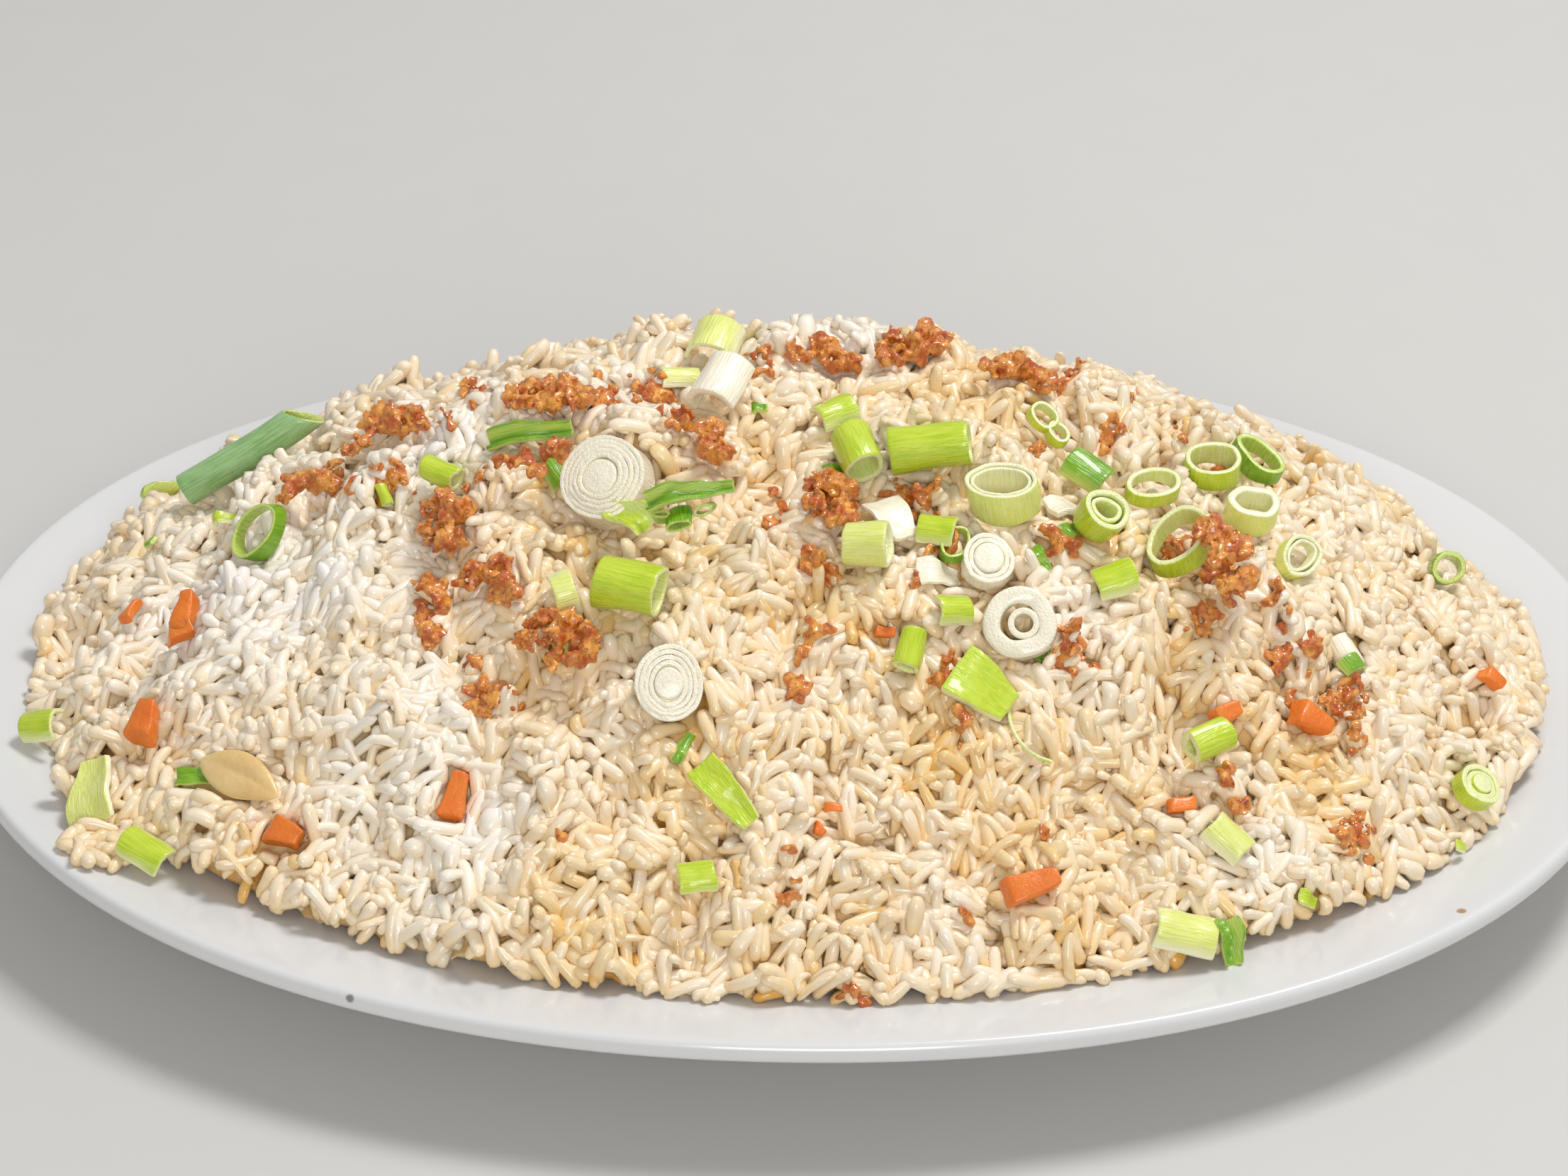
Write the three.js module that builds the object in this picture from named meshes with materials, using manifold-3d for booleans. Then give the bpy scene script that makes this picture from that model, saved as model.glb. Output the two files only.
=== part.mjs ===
// A platter of fried rice: an oval white plate, a heap of rice that rises well above its rim, and on the
// heap spring onion, fried garlic, carrot and a slice of garlic clove. Millimetres, +Z up. The origin is on
// the surface that the plate stands on, under the plate's centre; X runs along the plate.
import * as THREE from "three";
import { ImprovedNoise } from "three/addons/math/ImprovedNoise.js";
import { mergeVertices } from "three/addons/utils/BufferGeometryUtils.js";
import Module from "manifold-3d";

const wasm = await Module();
wasm.setup();

// Driving dimensions.
const PLATE_LENGTH = 340;
const PLATE_WIDTH = 244.6;
const PLATE_HEIGHT = 25;
const PLATE_SQUARENESS = 2.09; // exponent of the outline: 2 is a true ellipse
const LIP_HEIGHT = 4;
const RIM_WIDTH = 24;
const WELL_FLOOR = 6;
const FOOT_WIDTH = 6;
const FOOT_INSET = 53;
const GAP = 0.35; // air between neighbouring pieces
const HEAP_PEAK = 84.5; // height of the heap's smooth form above the table
const HEAP_PEAK_AT = { x: 4, y: 13 };
const HEAP_INSET = 16.5; // from the plate's outline to the edge of the rice
const HEAP_EDGE = 3.4; // thickness of the rice at its edge
const GRAIN_LENGTH = 7.5;
const GRAIN_WIDTH = 2.3;

const noise = new ImprovedNoise();
const lerp = THREE.MathUtils.lerp;
const TAU = 2 * Math.PI;
const UP = new THREE.Vector3(0, 0, 1);

const COLOURS = {
  plate: { color: 0xf4f3f0, roughness: 0.25 },
  rice: { color: 0xe9dcb8, roughness: 0.45 },
  green: { color: 0x8fbf3a, roughness: 0.4 },
  darkGreen: { color: 0x3f7d2c, roughness: 0.4 },
  pale: { color: 0xe4eab2, roughness: 0.35 },
  white: { color: 0xf3efdc, roughness: 0.35 },
  garlic: { color: 0xa8490f, roughness: 0.45 },
  carrot: { color: 0xe07a1c, roughness: 0.4 },
  clove: { color: 0xe8d9a0, roughness: 0.3 },
};

function solid(name, colour, geometry) {
  const mesh = new THREE.Mesh(geometry, new THREE.MeshStandardMaterial(COLOURS[colour]));
  mesh.name = name;
  return mesh;
}

// ---- Closed surfaces from rings of points ----

function geometryOf(points, faces) {
  const geometry = new THREE.BufferGeometry().setFromPoints(points);
  geometry.setIndex(faces.flat());
  return geometry;
}

// Triangles between two rings of the same count, as vertex numbers.
function quadStrip(first, second, count) {
  const faces = [];
  for (let j = 0; j < count; j++) {
    const next = (j + 1) % count;
    faces.push([first + j, first + next, second + next]);
    faces.push([first + j, second + next, second + j]);
  }
  return faces;
}

// Triangles between two rings of any counts; each ring is its points' rising angles.
function angleStrip(outer, inner) {
  const faces = [];
  const outerAt = (k) => outer.start + (k % outer.angles.length);
  const innerAt = (k) => inner.start + (k % inner.angles.length);
  const angleAt = (ring, k) =>
    ring.angles[k % ring.angles.length] + TAU * Math.floor(k / ring.angles.length);
  let i = 0;
  let j = 0;
  while (i < outer.angles.length || j < inner.angles.length) {
    const stepOuter = j >= inner.angles.length
      || (i < outer.angles.length && angleAt(outer, i + 1) <= angleAt(inner, j + 1));
    if (stepOuter) {
      faces.push([outerAt(i), outerAt(i + 1), innerAt(j)]);
      i += 1;
    } else {
      faces.push([outerAt(i), innerAt(j + 1), innerAt(j)]);
      j += 1;
    }
  }
  return faces;
}

function fan(centre, ring, count, facesUp) {
  const faces = [];
  for (let j = 0; j < count; j++) {
    const next = (j + 1) % count;
    faces.push(facesUp ? [centre, ring + j, ring + next] : [centre, ring + next, ring + j]);
  }
  return faces;
}

// ---- The plate ----

const PLATE_SIDES = 64;
const PLATE_TOP = [ // inset from the outline and height, from the lip to the well
  [0, PLATE_HEIGHT - 0.65 * LIP_HEIGHT],
  [0.35 * LIP_HEIGHT, PLATE_HEIGHT],
  [LIP_HEIGHT, PLATE_HEIGHT - 0.4],
  [RIM_WIDTH, 20],
  [RIM_WIDTH + 10, 14],
  [RIM_WIDTH + 22, WELL_FLOOR + 1.6],
  [RIM_WIDTH + 32, WELL_FLOOR],
];
const PLATE_UNDERSIDE = [ // from the recess inside the foot out to the lip
  [FOOT_INSET + FOOT_WIDTH + 1, 2],
  [FOOT_INSET + FOOT_WIDTH, 0],
  [FOOT_INSET, 0],
  [FOOT_INSET - 3, 1.8],
  [RIM_WIDTH + 8, 11],
  [1.5 * LIP_HEIGHT, PLATE_HEIGHT - 5],
  [0, PLATE_HEIGHT - LIP_HEIGHT + 0.2],
];

// A point of the plate's outline, moved in by inset.
function platePoint(side, inset, z) {
  const turn = (TAU * side) / PLATE_SIDES;
  const a = PLATE_LENGTH / 2;
  const b = PLATE_WIDTH / 2;
  const n = PLATE_SQUARENESS;
  const rounded = (value, power) => Math.sign(value) * Math.abs(value) ** power;
  const x = a * rounded(Math.cos(turn), 2 / n);
  const y = b * rounded(Math.sin(turn), 2 / n);
  const normal = new THREE.Vector2(rounded(x / a, n - 1) / a, rounded(y / b, n - 1) / b).normalize();
  return new THREE.Vector3(x - inset * normal.x, y - inset * normal.y, z);
}

function plate() {
  const profile = [...PLATE_UNDERSIDE, ...PLATE_TOP];
  const points = [];
  for (const [inset, z] of profile) {
    for (let side = 0; side < PLATE_SIDES; side++) {
      points.push(platePoint(side, inset, z));
    }
  }
  const faces = [];
  for (let ring = 0; ring < profile.length - 1; ring++) {
    faces.push(...quadStrip(ring * PLATE_SIDES, (ring + 1) * PLATE_SIDES, PLATE_SIDES));
  }
  const centreBelow = points.push(new THREE.Vector3(0, 0, profile[0][1])) - 1;
  const centreAbove = points.push(new THREE.Vector3(0, 0, WELL_FLOOR)) - 1;
  faces.push(...fan(centreBelow, 0, PLATE_SIDES, false));
  faces.push(...fan(centreAbove, (profile.length - 1) * PLATE_SIDES, PLATE_SIDES, true));
  return geometryOf(points, faces);
}

// Height of the plate's upper side at an inset from its outline.
function plateTopAt(inset) {
  const k = PLATE_TOP.findIndex(([at]) => at > inset);
  if (k < 1) return WELL_FLOOR;
  const [from, zFrom] = PLATE_TOP[k - 1];
  const [to, zTo] = PLATE_TOP[k];
  return lerp(zFrom, zTo, (inset - from) / (to - from));
}

// Height of the plate's upper side at a place, from the place's share of the way to the outline.
function plateHeightAt(x, y) {
  const n = PLATE_SQUARENESS;
  const share = (Math.abs(2 * x / PLATE_LENGTH) ** n + Math.abs(2 * y / PLATE_WIDTH) ** n) ** (1 / n);
  return plateTopAt(((1 - share) * PLATE_WIDTH) / 2);
}

// ---- The heap of rice ----

const HEAP_RINGS = 28;
const HEAP_FOOT = PLATE_HEIGHT - 3 + HEAP_EDGE; // height of the upper side at the edge
const HEAP_SPACING = 4.4;
const EDGE_WOBBLE = 2.4; // how far the edge of the rice strays from an even inset
const FRONT_POWER = 1.55; // form of the slope from the peak: 1 is a cone, 2 a round dome
const SIDE_POWER = 2.05;
const BACK_POWER = 1.45;

// The clumps and hollows that stand out, and the clump that has slid on to the rim.
const CLUMPS = [
  { x: 6, y: 24, radius: 14, rise: 3 },
  { x: 34, y: 24, radius: 15, rise: 3.5 },
  { x: -78, y: 20, radius: 17, rise: 6 },
  { x: -100, y: 28, radius: 15, rise: 7 },
  { x: -52, y: -4, radius: 20, rise: 4 },
  { x: 112, y: 18, radius: 14, rise: 3 },
  { x: 20, y: -40, radius: 18, rise: 3 },
  { x: 78, y: -38, radius: 20, rise: 3 },
  { x: -22, y: -62, radius: 13, rise: 3 },
  { x: -88, y: -32, radius: 16, rise: -5 },
  { x: -58, y: -48, radius: 13, rise: -4 },
  { x: 44, y: -62, radius: 12, rise: -3.5 },
  { x: -8, y: -22, radius: 12, rise: -3 },
  { x: 96, y: -6, radius: 13, rise: -3 },
  { x: 66, y: 42, radius: 15, rise: -5 },
  { x: 102, y: 42, radius: 17, rise: -5 },
  { x: 136, y: 26, radius: 13, rise: -7 },
];
const SLIPPED_CLUMP = { turn: 3.66, width: 0.055, reach: 6 };

function edgeInset(turn) {
  const wobble = noise.noise(4 * Math.cos(turn), 4 * Math.sin(turn), 7.3)
    + 0.7 * noise.noise(11 * Math.cos(turn), 11 * Math.sin(turn), 2.1);
  const slipped = Math.exp(-(((turn - SLIPPED_CLUMP.turn) / SLIPPED_CLUMP.width) ** 2));
  return HEAP_INSET + EDGE_WOBBLE * wobble - SLIPPED_CLUMP.reach * slipped;
}

// The edge of the rice, one point for each side of the plate, with its angle and reach from the peak.
const heapEdge = Array.from({ length: PLATE_SIDES }, (_, side) => {
  const inset = edgeInset((TAU * side) / PLATE_SIDES);
  const point = platePoint(side, inset, plateTopAt(inset) + GAP);
  const dx = point.x - HEAP_PEAK_AT.x;
  const dy = point.y - HEAP_PEAK_AT.y;
  return { side, point, angle: (Math.atan2(dy, dx) + TAU) % TAU, reach: Math.hypot(dx, dy) };
}).sort((one, other) => one.angle - other.angle);

// How far the rice reaches from its peak in a direction.
function reachAt(angle) {
  const after = heapEdge.findIndex((edge) => edge.angle > angle);
  const next = heapEdge.at(Math.max(after, 0));
  const last = heapEdge.at(after < 0 ? -1 : after - 1);
  const span = (next.angle - last.angle + TAU) % TAU;
  return lerp(last.reach, next.reach, ((angle - last.angle + TAU) % TAU) / span);
}

function clumpRise(x, y) {
  let rise = 0;
  for (const clump of CLUMPS) {
    const apart = Math.hypot(x - clump.x, y - clump.y) / clump.radius;
    rise += clump.rise * Math.exp(-apart * apart);
  }
  return rise;
}

// Uneven clumps a few grains across, and bumps as long and as wide as a grain.
function riceRelief(x, y) {
  const clumps = 4.6 * noise.noise(x / 26, y / 26, 3.7) + 3.8 * noise.noise(x / 13, y / 13, 9.2);
  const grains = noise.noise(x / GRAIN_LENGTH, y / GRAIN_LENGTH, 5.5)
    + 0.8 * noise.noise(x / (2 * GRAIN_WIDTH), y / (2 * GRAIN_WIDTH), 1.4);
  return clumps + 1.5 * GRAIN_WIDTH * grains;
}

function heapHeight(x, y) {
  const dx = x - HEAP_PEAK_AT.x;
  const dy = y - HEAP_PEAK_AT.y;
  const angle = (Math.atan2(dy, dx) + TAU) % TAU;
  const share = Math.min(1, Math.hypot(dx, dy) / reachAt(angle));
  const power = lerp(dy < 0 ? FRONT_POWER : BACK_POWER, SIDE_POWER, Math.cos(angle) ** 2);
  const form = HEAP_PEAK - (HEAP_PEAK - HEAP_FOOT) * share ** power;
  return form + (1 - share ** 6) * (clumpRise(x, y) + riceRelief(x, y));
}

// One ring of the heap's upper side, at a share of the way from the peak to the edge.
function heapRing(share, ringNumber) {
  const around = TAU * share * (Math.hypot(PLATE_LENGTH, PLATE_WIDTH) / Math.sqrt(8) - HEAP_INSET);
  const count = Math.max(6, Math.round(around / HEAP_SPACING));
  const turned = 0.5 * (ringNumber % 2);
  const angles = Array.from({ length: count }, (_, k) => (TAU * (k + turned)) / count);
  const points = angles.map((angle) => {
    const out = share * reachAt(angle);
    const x = HEAP_PEAK_AT.x + out * Math.cos(angle);
    const y = HEAP_PEAK_AT.y + out * Math.sin(angle);
    return new THREE.Vector3(x, y, heapHeight(x, y));
  });
  return { angles, points };
}

// The rings of the underside, which follow the plate a gap above it: first the edge, then inwards.
function heapUnderside() {
  const insets = PLATE_TOP.map(([inset]) => inset).filter((inset) => inset >= RIM_WIDTH);
  const rings = [heapEdge.map((edge) => edge.point)];
  for (const inset of insets) {
    rings.push(heapEdge.map((edge) => platePoint(edge.side, inset, plateTopAt(inset) + GAP)));
  }
  return rings;
}

// The whole heap before anything is pressed into it: { points, faces, top: the upper points' count }.
function heapShell() {
  const points = [];
  const faces = [];
  const add = (ring) => points.push(...ring) - ring.length;
  const { x, y } = HEAP_PEAK_AT;
  points.push(new THREE.Vector3(x, y, heapHeight(x, y)));
  let inner = null;
  for (let k = 1; k < HEAP_RINGS; k++) {
    const ring = heapRing(k / HEAP_RINGS, k);
    const placed = { start: add(ring.points), angles: ring.angles };
    faces.push(...(inner ? angleStrip(placed, inner) : fan(0, placed.start, ring.angles.length, true)));
    inner = placed;
  }
  const raised = heapEdge.map((edge) => edge.point.clone().setZ(edge.point.z + HEAP_EDGE));
  const outer = { start: add(raised), angles: heapEdge.map((edge) => edge.angle) };
  faces.push(...angleStrip(outer, inner));
  const top = points.length;
  let above = outer.start;
  for (const ring of heapUnderside()) {
    const below = add(ring);
    faces.push(...quadStrip(below, above, PLATE_SIDES));
    above = below;
  }
  const centre = points.push(new THREE.Vector3(0, 0, WELL_FLOOR + GAP)) - 1;
  faces.push(...fan(centre, above, PLATE_SIDES, false));
  return { points, faces, top };
}

// ---- The toppings' shapes, each about its own origin, with its upper side towards +Z ----

const RING_SIDES = 10;
const LEAF_CUTS = 5;

// A ring or tube of spring onion: an oval wall round +Z, its upper end cut at a slant.
function tube({ across, deep = across, wall = 0.9, length, slant = 0 }) {
  const points = [];
  const loops = [[0, -1], [0, 1], [wall, 1], [wall, -1]];
  for (const [inset, end] of loops) {
    for (let k = 0; k < RING_SIDES; k++) {
      const turn = (TAU * k) / RING_SIDES;
      const x = (across / 2 - inset) * Math.cos(turn);
      const y = (deep / 2 - inset) * Math.sin(turn);
      points.push(new THREE.Vector3(x, y, (end * length) / 2 + (end > 0 ? slant * x : 0)));
    }
  }
  const faces = loops.flatMap((_, k) =>
    quadStrip(k * RING_SIDES, ((k + 1) % loops.length) * RING_SIDES, RING_SIDES));
  return geometryOf(points, faces);
}

// The same tube lying down, its length along X.
const lyingTube = (size) => tube(size).rotateY(Math.PI / 2);

// A slice through a white bulb: a short cylinder whose layers show as steps on its upper face.
function slice({ across, deep = across, length }) {
  const step = 0.06 * across;
  const top = length / 2;
  const profile = [[0.9, -top], [1, 0], [0.94, top], [0.68, top + step], [0.6, top]];
  const points = profile.flatMap(([share, z]) => Array.from({ length: RING_SIDES }, (_, k) => {
    const turn = (TAU * k) / RING_SIDES;
    const x = 0.5 * share * across * Math.cos(turn);
    const y = 0.5 * share * deep * Math.sin(turn);
    return new THREE.Vector3(x, y, z);
  }));
  const faces = [];
  for (let ring = 0; ring < profile.length - 1; ring++) {
    faces.push(...quadStrip(ring * RING_SIDES, (ring + 1) * RING_SIDES, RING_SIDES));
  }
  const below = points.push(new THREE.Vector3(0, 0, -length / 2)) - 1;
  const above = points.push(new THREE.Vector3(0, 0, length / 2 + step)) - 1;
  faces.push(...fan(below, 0, RING_SIDES, false));
  faces.push(...fan(above, (profile.length - 1) * RING_SIDES, RING_SIDES, true));
  return geometryOf(points, faces);
}

// A thin closed sheet over a grid: at(u, v) is its middle, normalAt(u, v) the way its thickness goes.
function sheet(uCuts, vCuts, thickness, at, normalAt) {
  const points = [];
  for (const side of [0.5, -0.5]) {
    for (let i = 0; i <= uCuts; i++) {
      for (let j = 0; j <= vCuts; j++) {
        const normal = normalAt(i / uCuts, j / vCuts);
        points.push(at(i / uCuts, j / vCuts).addScaledVector(normal, side * thickness));
      }
    }
  }
  const row = vCuts + 1;
  const under = (uCuts + 1) * row;
  const faces = [];
  const quad = (a, b, c, d) => faces.push([a, b, c], [a, c, d]);
  for (let i = 0; i < uCuts; i++) {
    for (let j = 0; j < vCuts; j++) {
      const k = i * row + j;
      quad(k, k + row, k + row + 1, k + 1);
      quad(under + k, under + k + 1, under + k + row + 1, under + k + row);
    }
    quad(i * row, under + i * row, under + (i + 1) * row, (i + 1) * row);
    quad(i * row + vCuts, (i + 1) * row + vCuts, under + (i + 1) * row + vCuts, under + i * row + vCuts);
  }
  for (let j = 0; j < vCuts; j++) {
    const far = uCuts * row + j;
    quad(j, j + 1, under + j + 1, under + j);
    quad(far, under + far, under + far + 1, far + 1);
  }
  return geometryOf(points, faces);
}

// Part of a tube's wall, arched over the X axis through an arc given in degrees.
function trough({ radius, arc, length, wall = 1 }) {
  const bend = (v) => THREE.MathUtils.degToRad(arc) * (0.5 - v);
  const normalAt = (u, v) => new THREE.Vector3(0, -Math.sin(bend(v)), Math.cos(bend(v)));
  const axisAt = (u) => new THREE.Vector3((u - 0.5) * length, 0, -radius);
  const at = (u, v) => normalAt(u, v).multiplyScalar(radius).add(axisAt(u));
  return sheet(1, LEAF_CUTS, wall, at, normalAt);
}

// A thin wavy leaf along X, narrower at one end.
function leaf({ length, width, wave = 1, thickness = 0.9 }) {
  const at = (u, v) => {
    const half = (width / 2) * (1 - 0.45 * u * u);
    const z = wave * Math.sin(1.6 * Math.PI * u) + 0.5 * wave * (2 * v - 1) ** 2;
    return new THREE.Vector3((u - 0.5) * length, half * (2 * v - 1), z);
  };
  return sheet(LEAF_CUTS, 2, thickness, at, () => UP.clone());
}

// One uneven crumb: a twenty-sided lump, its corners moved in and out.
function crumb(length, width, height, seed) {
  const lump = mergeVertices(bare(new THREE.IcosahedronGeometry(1, 0)), 1e-3);
  const places = lump.getAttribute("position");
  for (let k = 0; k < places.count; k++) {
    const size = 0.62 + 0.38 * THREE.MathUtils.seededRandom(seed + k);
    places.setXYZ(k, places.getX(k) * size, places.getY(k) * size, places.getZ(k) * size);
  }
  return lump.scale(length / 2, width / 2, height / 2);
}

// A cluster of fried garlic crumbs stuck together, longer along X, arched by bow degrees.
function crumbs({ length, width, height = 0.62 * width, count = 4, bow = 0, seed }) {
  const lumps = Array.from({ length: count }, (_, k) => {
    const share = count > 1 ? k / (count - 1) - 0.5 : 0;
    const turn = THREE.MathUtils.degToRad(bow) * share;
    const lump = crumb((2.4 * length) / count, width, height, seed + 50 * k);
    const side = (k % 2 ? 0.14 : -0.14) * width;
    const back = 0.5 * length * Math.abs(Math.sin(turn)) * Math.sign(bow);
    return lump.rotateZ(-turn).translate(0.62 * share * length, side - back, 0);
  });
  return join(lumps);
}

// A slice of garlic clove: a flat crescent along X with a thinner edge all round.
function cloveSlice({ length, width, thickness }) {
  const outline = new THREE.Shape();
  outline.moveTo(-length / 2, 0);
  outline.quadraticCurveTo(-length / 6, width, length / 2, width / 5);
  outline.quadraticCurveTo(length / 8, -width / 2, -length / 2, 0);
  const bevel = thickness / 3;
  return new THREE.ExtrudeGeometry(outline, {
    depth: thickness - 2 * bevel, curveSegments: 5,
    bevelThickness: bevel, bevelSize: bevel, bevelOffset: -bevel, bevelSegments: 1,
  });
}

// ---- Joining ----

const WELD = 1e-3; // corners nearer than this are one

function bare(geometry) {
  return geometry.deleteAttribute("normal").deleteAttribute("uv");
}

function manifoldOf(geometry) {
  const merged = mergeVertices(bare(geometry), WELD);
  const vertProperties = merged.getAttribute("position").array;
  const triVerts = new Uint32Array(merged.index.array);
  return new wasm.Manifold(new wasm.Mesh({ numProp: 3, vertProperties, triVerts }));
}

function geometryFrom(manifold) {
  const made = manifold.getMesh();
  const geometry = new THREE.BufferGeometry();
  geometry.setAttribute("position", new THREE.BufferAttribute(new Float32Array(made.vertProperties), 3));
  geometry.setIndex(new THREE.BufferAttribute(new Uint32Array(made.triVerts), 1));
  return geometry;
}

function join(geometries) {
  return geometryFrom(geometries.map(manifoldOf).reduce((sum, next) => sum.add(next)));
}

// Two thin rings of one cut, grown together like a figure of eight.
const ringPair = ({ across, wall, length }) => join([
  tube({ across, deep: 0.85 * across, wall, length }),
  tube({ across: 0.75 * across, deep: 0.6 * across, wall, length }).translate(0.7 * across, 0, 0),
]);

// A thick white ring with the next layer loose inside it, touching on one side.
const ringWithCore = ({ across, wall, length }) => {
  const hole = across / 2 - wall;
  const core = tube({ across: 1.7 * hole, wall: 0.35 * hole, length: 0.9 * length });
  return join([tube({ across, wall, length }), core.translate(0.25 * hole, 0, 0)]);
};

// ---- The toppings' places ----
// x and y are the place on the heap. heading is the way the piece's length points in plan, in degrees from
// +X towards +Y. axis is the way its upper side looks; without one it lies flat on the slope.

const ONIONS = [
  { name: "onion_tube_long", colour: "green", shape: lyingTube, x: -113, y: 24, axis: [-0.5, 0.2, 0.8],
    heading: 4, size: { across: 7, length: 30, slant: 0.8 } },
  { name: "onion_curl_left", colour: "darkGreen", shape: tube, x: -106, y: -9, axis: [-0.5, -0.6, 0.6],
    heading: 40, size: { across: 13, deep: 9, wall: 0.8, length: 4 } },
  { name: "onion_tube_small", colour: "green", shape: lyingTube, x: -69, y: -10, heading: -35,
    size: { across: 5, length: 7.5 } },
  { name: "onion_strip_back", colour: "darkGreen", shape: leaf, x: -52, y: -7, heading: 5,
    size: { length: 17, width: 4.2 } },
  { name: "bulb_slice_big", colour: "white", shape: slice, x: -36, y: -20, axis: [-0.35, -0.6, 0.72],
    heading: 0, size: { across: 17.5, length: 7 } },
  { name: "onion_section_back", colour: "pale", shape: trough, x: -17, y: 23, heading: 75,
    size: { radius: 5.5, arc: 170, length: 9 } },
  { name: "bulb_half_back", colour: "white", shape: trough, x: -17, y: 6, heading: 60,
    size: { radius: 5.5, arc: 190, length: 11, wall: 1.6 } },
  { name: "onion_leaf_light", colour: "green", shape: leaf, x: -32, y: -31, heading: 150,
    size: { length: 9, width: 7 } },
  { name: "onion_leaf_curly", colour: "darkGreen", shape: leaf, x: -20, y: -33, heading: 8,
    size: { length: 17, width: 8, wave: 1.6, thickness: 1.2 } },
  { name: "onion_piece_top", colour: "green", shape: trough, x: 8, y: 0, heading: 30,
    size: { radius: 4, arc: 150, length: 8 } },
  { name: "onion_tube_top", colour: "green", shape: lyingTube, x: 12, y: -11, heading: -70,
    size: { across: 8.5, length: 10 } },
  { name: "onion_tube_lying", colour: "green", shape: lyingTube, x: 26, y: -12, heading: 0,
    size: { across: 9, length: 16 } },
  { name: "onion_ring_pair", colour: "green", shape: ringPair, x: 49, y: 3, heading: -50,
    size: { across: 6.5, wall: 0.8, length: 2.2 } },
  { name: "onion_ring_pale", colour: "pale", shape: tube, x: 40, y: -22, axis: [-0.15, -0.15, 0.97],
    heading: -10, size: { across: 14, deep: 10.5, wall: 1.2, length: 7 } },
  { name: "onion_petal", colour: "white", shape: leaf, x: 19, y: -25, heading: -60,
    size: { length: 11, width: 8.5, wave: 0.8 } },
  { name: "onion_wedge_middle", colour: "green", shape: trough, x: 27, y: -29, heading: -15,
    size: { radius: 3.5, arc: 160, length: 7.5 } },
  { name: "onion_tube_pale", colour: "pale", shape: lyingTube, x: 14, y: -36, heading: -10,
    size: { across: 8.5, length: 8.5 } },
  { name: "bulb_piece", colour: "white", shape: slice, x: 37, y: -35, heading: 0,
    size: { across: 10, length: 4 } },
  { name: "onion_half_tube", colour: "green", shape: trough, x: 31, y: -46, heading: 15,
    size: { radius: 3.5, arc: 150, length: 7 } },
  { name: "bulb_ring_white", colour: "white", shape: ringWithCore, x: 43, y: -46, axis: [-0.1, -0.72, 0.68],
    heading: 0, size: { across: 14, wall: 3.4, length: 3.6 } },
  { name: "onion_cut_flat", colour: "green", shape: leaf, x: 36, y: -57, heading: -35,
    size: { length: 13, width: 11, wave: 0.7, thickness: 1.8 } },
  { name: "onion_wedge_front", colour: "green", shape: lyingTube, x: 22, y: -53, heading: 70,
    size: { across: 5.5, length: 7.5 } },
  { name: "onion_strip_right", colour: "darkGreen", shape: trough, x: 58, y: -7, heading: -35,
    size: { radius: 4.5, arc: 150, length: 9 } },
  { name: "onion_ring_right", colour: "green", shape: tube, x: 70, y: -10, axis: [0.05, -0.3, 0.95],
    heading: 10, size: { across: 11, deep: 8.5, length: 3.4 } },
  { name: "onion_ring_thick", colour: "green", shape: tube, x: 59, y: -25, axis: [0.35, -0.45, 0.82],
    heading: 0, size: { across: 9.5, wall: 2.2, length: 7 } },
  { name: "onion_ring_large", colour: "green", shape: tube, x: 74.5, y: -26, axis: [-0.3, -0.38, 0.84],
    heading: 40, size: { across: 14.5, deep: 11, length: 5.5 } },
  { name: "onion_wedge_right", colour: "green", shape: trough, x: 61, y: -37, heading: 20,
    size: { radius: 4, arc: 150, length: 8 } },
  { name: "onion_ring_back", colour: "green", shape: tube, x: 83, y: 3, axis: [0, -0.25, 0.97],
    heading: 0, size: { across: 12, deep: 9, length: 5.5 } },
  { name: "onion_loop_back", colour: "darkGreen", shape: tube, x: 93, y: 12, axis: [0.2, -0.3, 0.9],
    heading: -40, size: { across: 12, deep: 7, length: 4.5 } },
  { name: "onion_ring_yellow", colour: "pale", shape: tube, x: 90, y: -8, axis: [0.1, -0.3, 0.95],
    heading: 0, size: { across: 10.5, deep: 9, wall: 2, length: 6 } },
  { name: "onion_ring_faint", colour: "pale", shape: tube, x: 99, y: -17, axis: [0.5, -0.5, 0.7],
    heading: 60, size: { across: 10.5, deep: 8, wall: 1.6, length: 3 } },
  { name: "onion_ring_dark", colour: "darkGreen", shape: tube, x: 133, y: 7, axis: [0.1, -0.8, 0.6],
    heading: 0, size: { across: 7, wall: 1.1, length: 5 } },
  { name: "onion_stem_right", colour: "green", shape: lyingTube, x: 79, y: -60, heading: 35,
    size: { across: 6.6, length: 8.5, wall: 1.6 } },
  { name: "onion_ring_far_right", colour: "green", shape: slice, x: 133, y: -48, heading: 0,
    size: { across: 9.5, length: 3.5 } },
  { name: "onion_piece_right", colour: "pale", shape: trough, x: 83, y: -77, heading: -40,
    size: { radius: 4, arc: 150, length: 8.5 } },
  { name: "onion_arch", colour: "pale", shape: trough, x: -43, y: -45, heading: 25,
    size: { radius: 4.5, arc: 190, length: 4.5 } },
  { name: "onion_tube_front", colour: "green", shape: lyingTube, x: -31, y: -44, heading: -20,
    size: { across: 10, length: 12 } },
  { name: "bulb_slice_front", colour: "white", shape: slice, x: -23, y: -61, axis: [0, -0.75, 0.66],
    heading: 0, size: { across: 13.6, deep: 14.6, length: 4.5 } },
  { name: "onion_strip_front", colour: "green", shape: leaf, x: -12, y: -76, heading: -60,
    size: { length: 15, width: 6.5 } },
  { name: "onion_square_front", colour: "green", shape: trough, x: -17, y: -91, heading: 10,
    size: { radius: 4, arc: 110, length: 7 } },
  { name: "onion_tube_on_rim", colour: "green", shape: trough, x: -149, y: -32, heading: -10,
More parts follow.
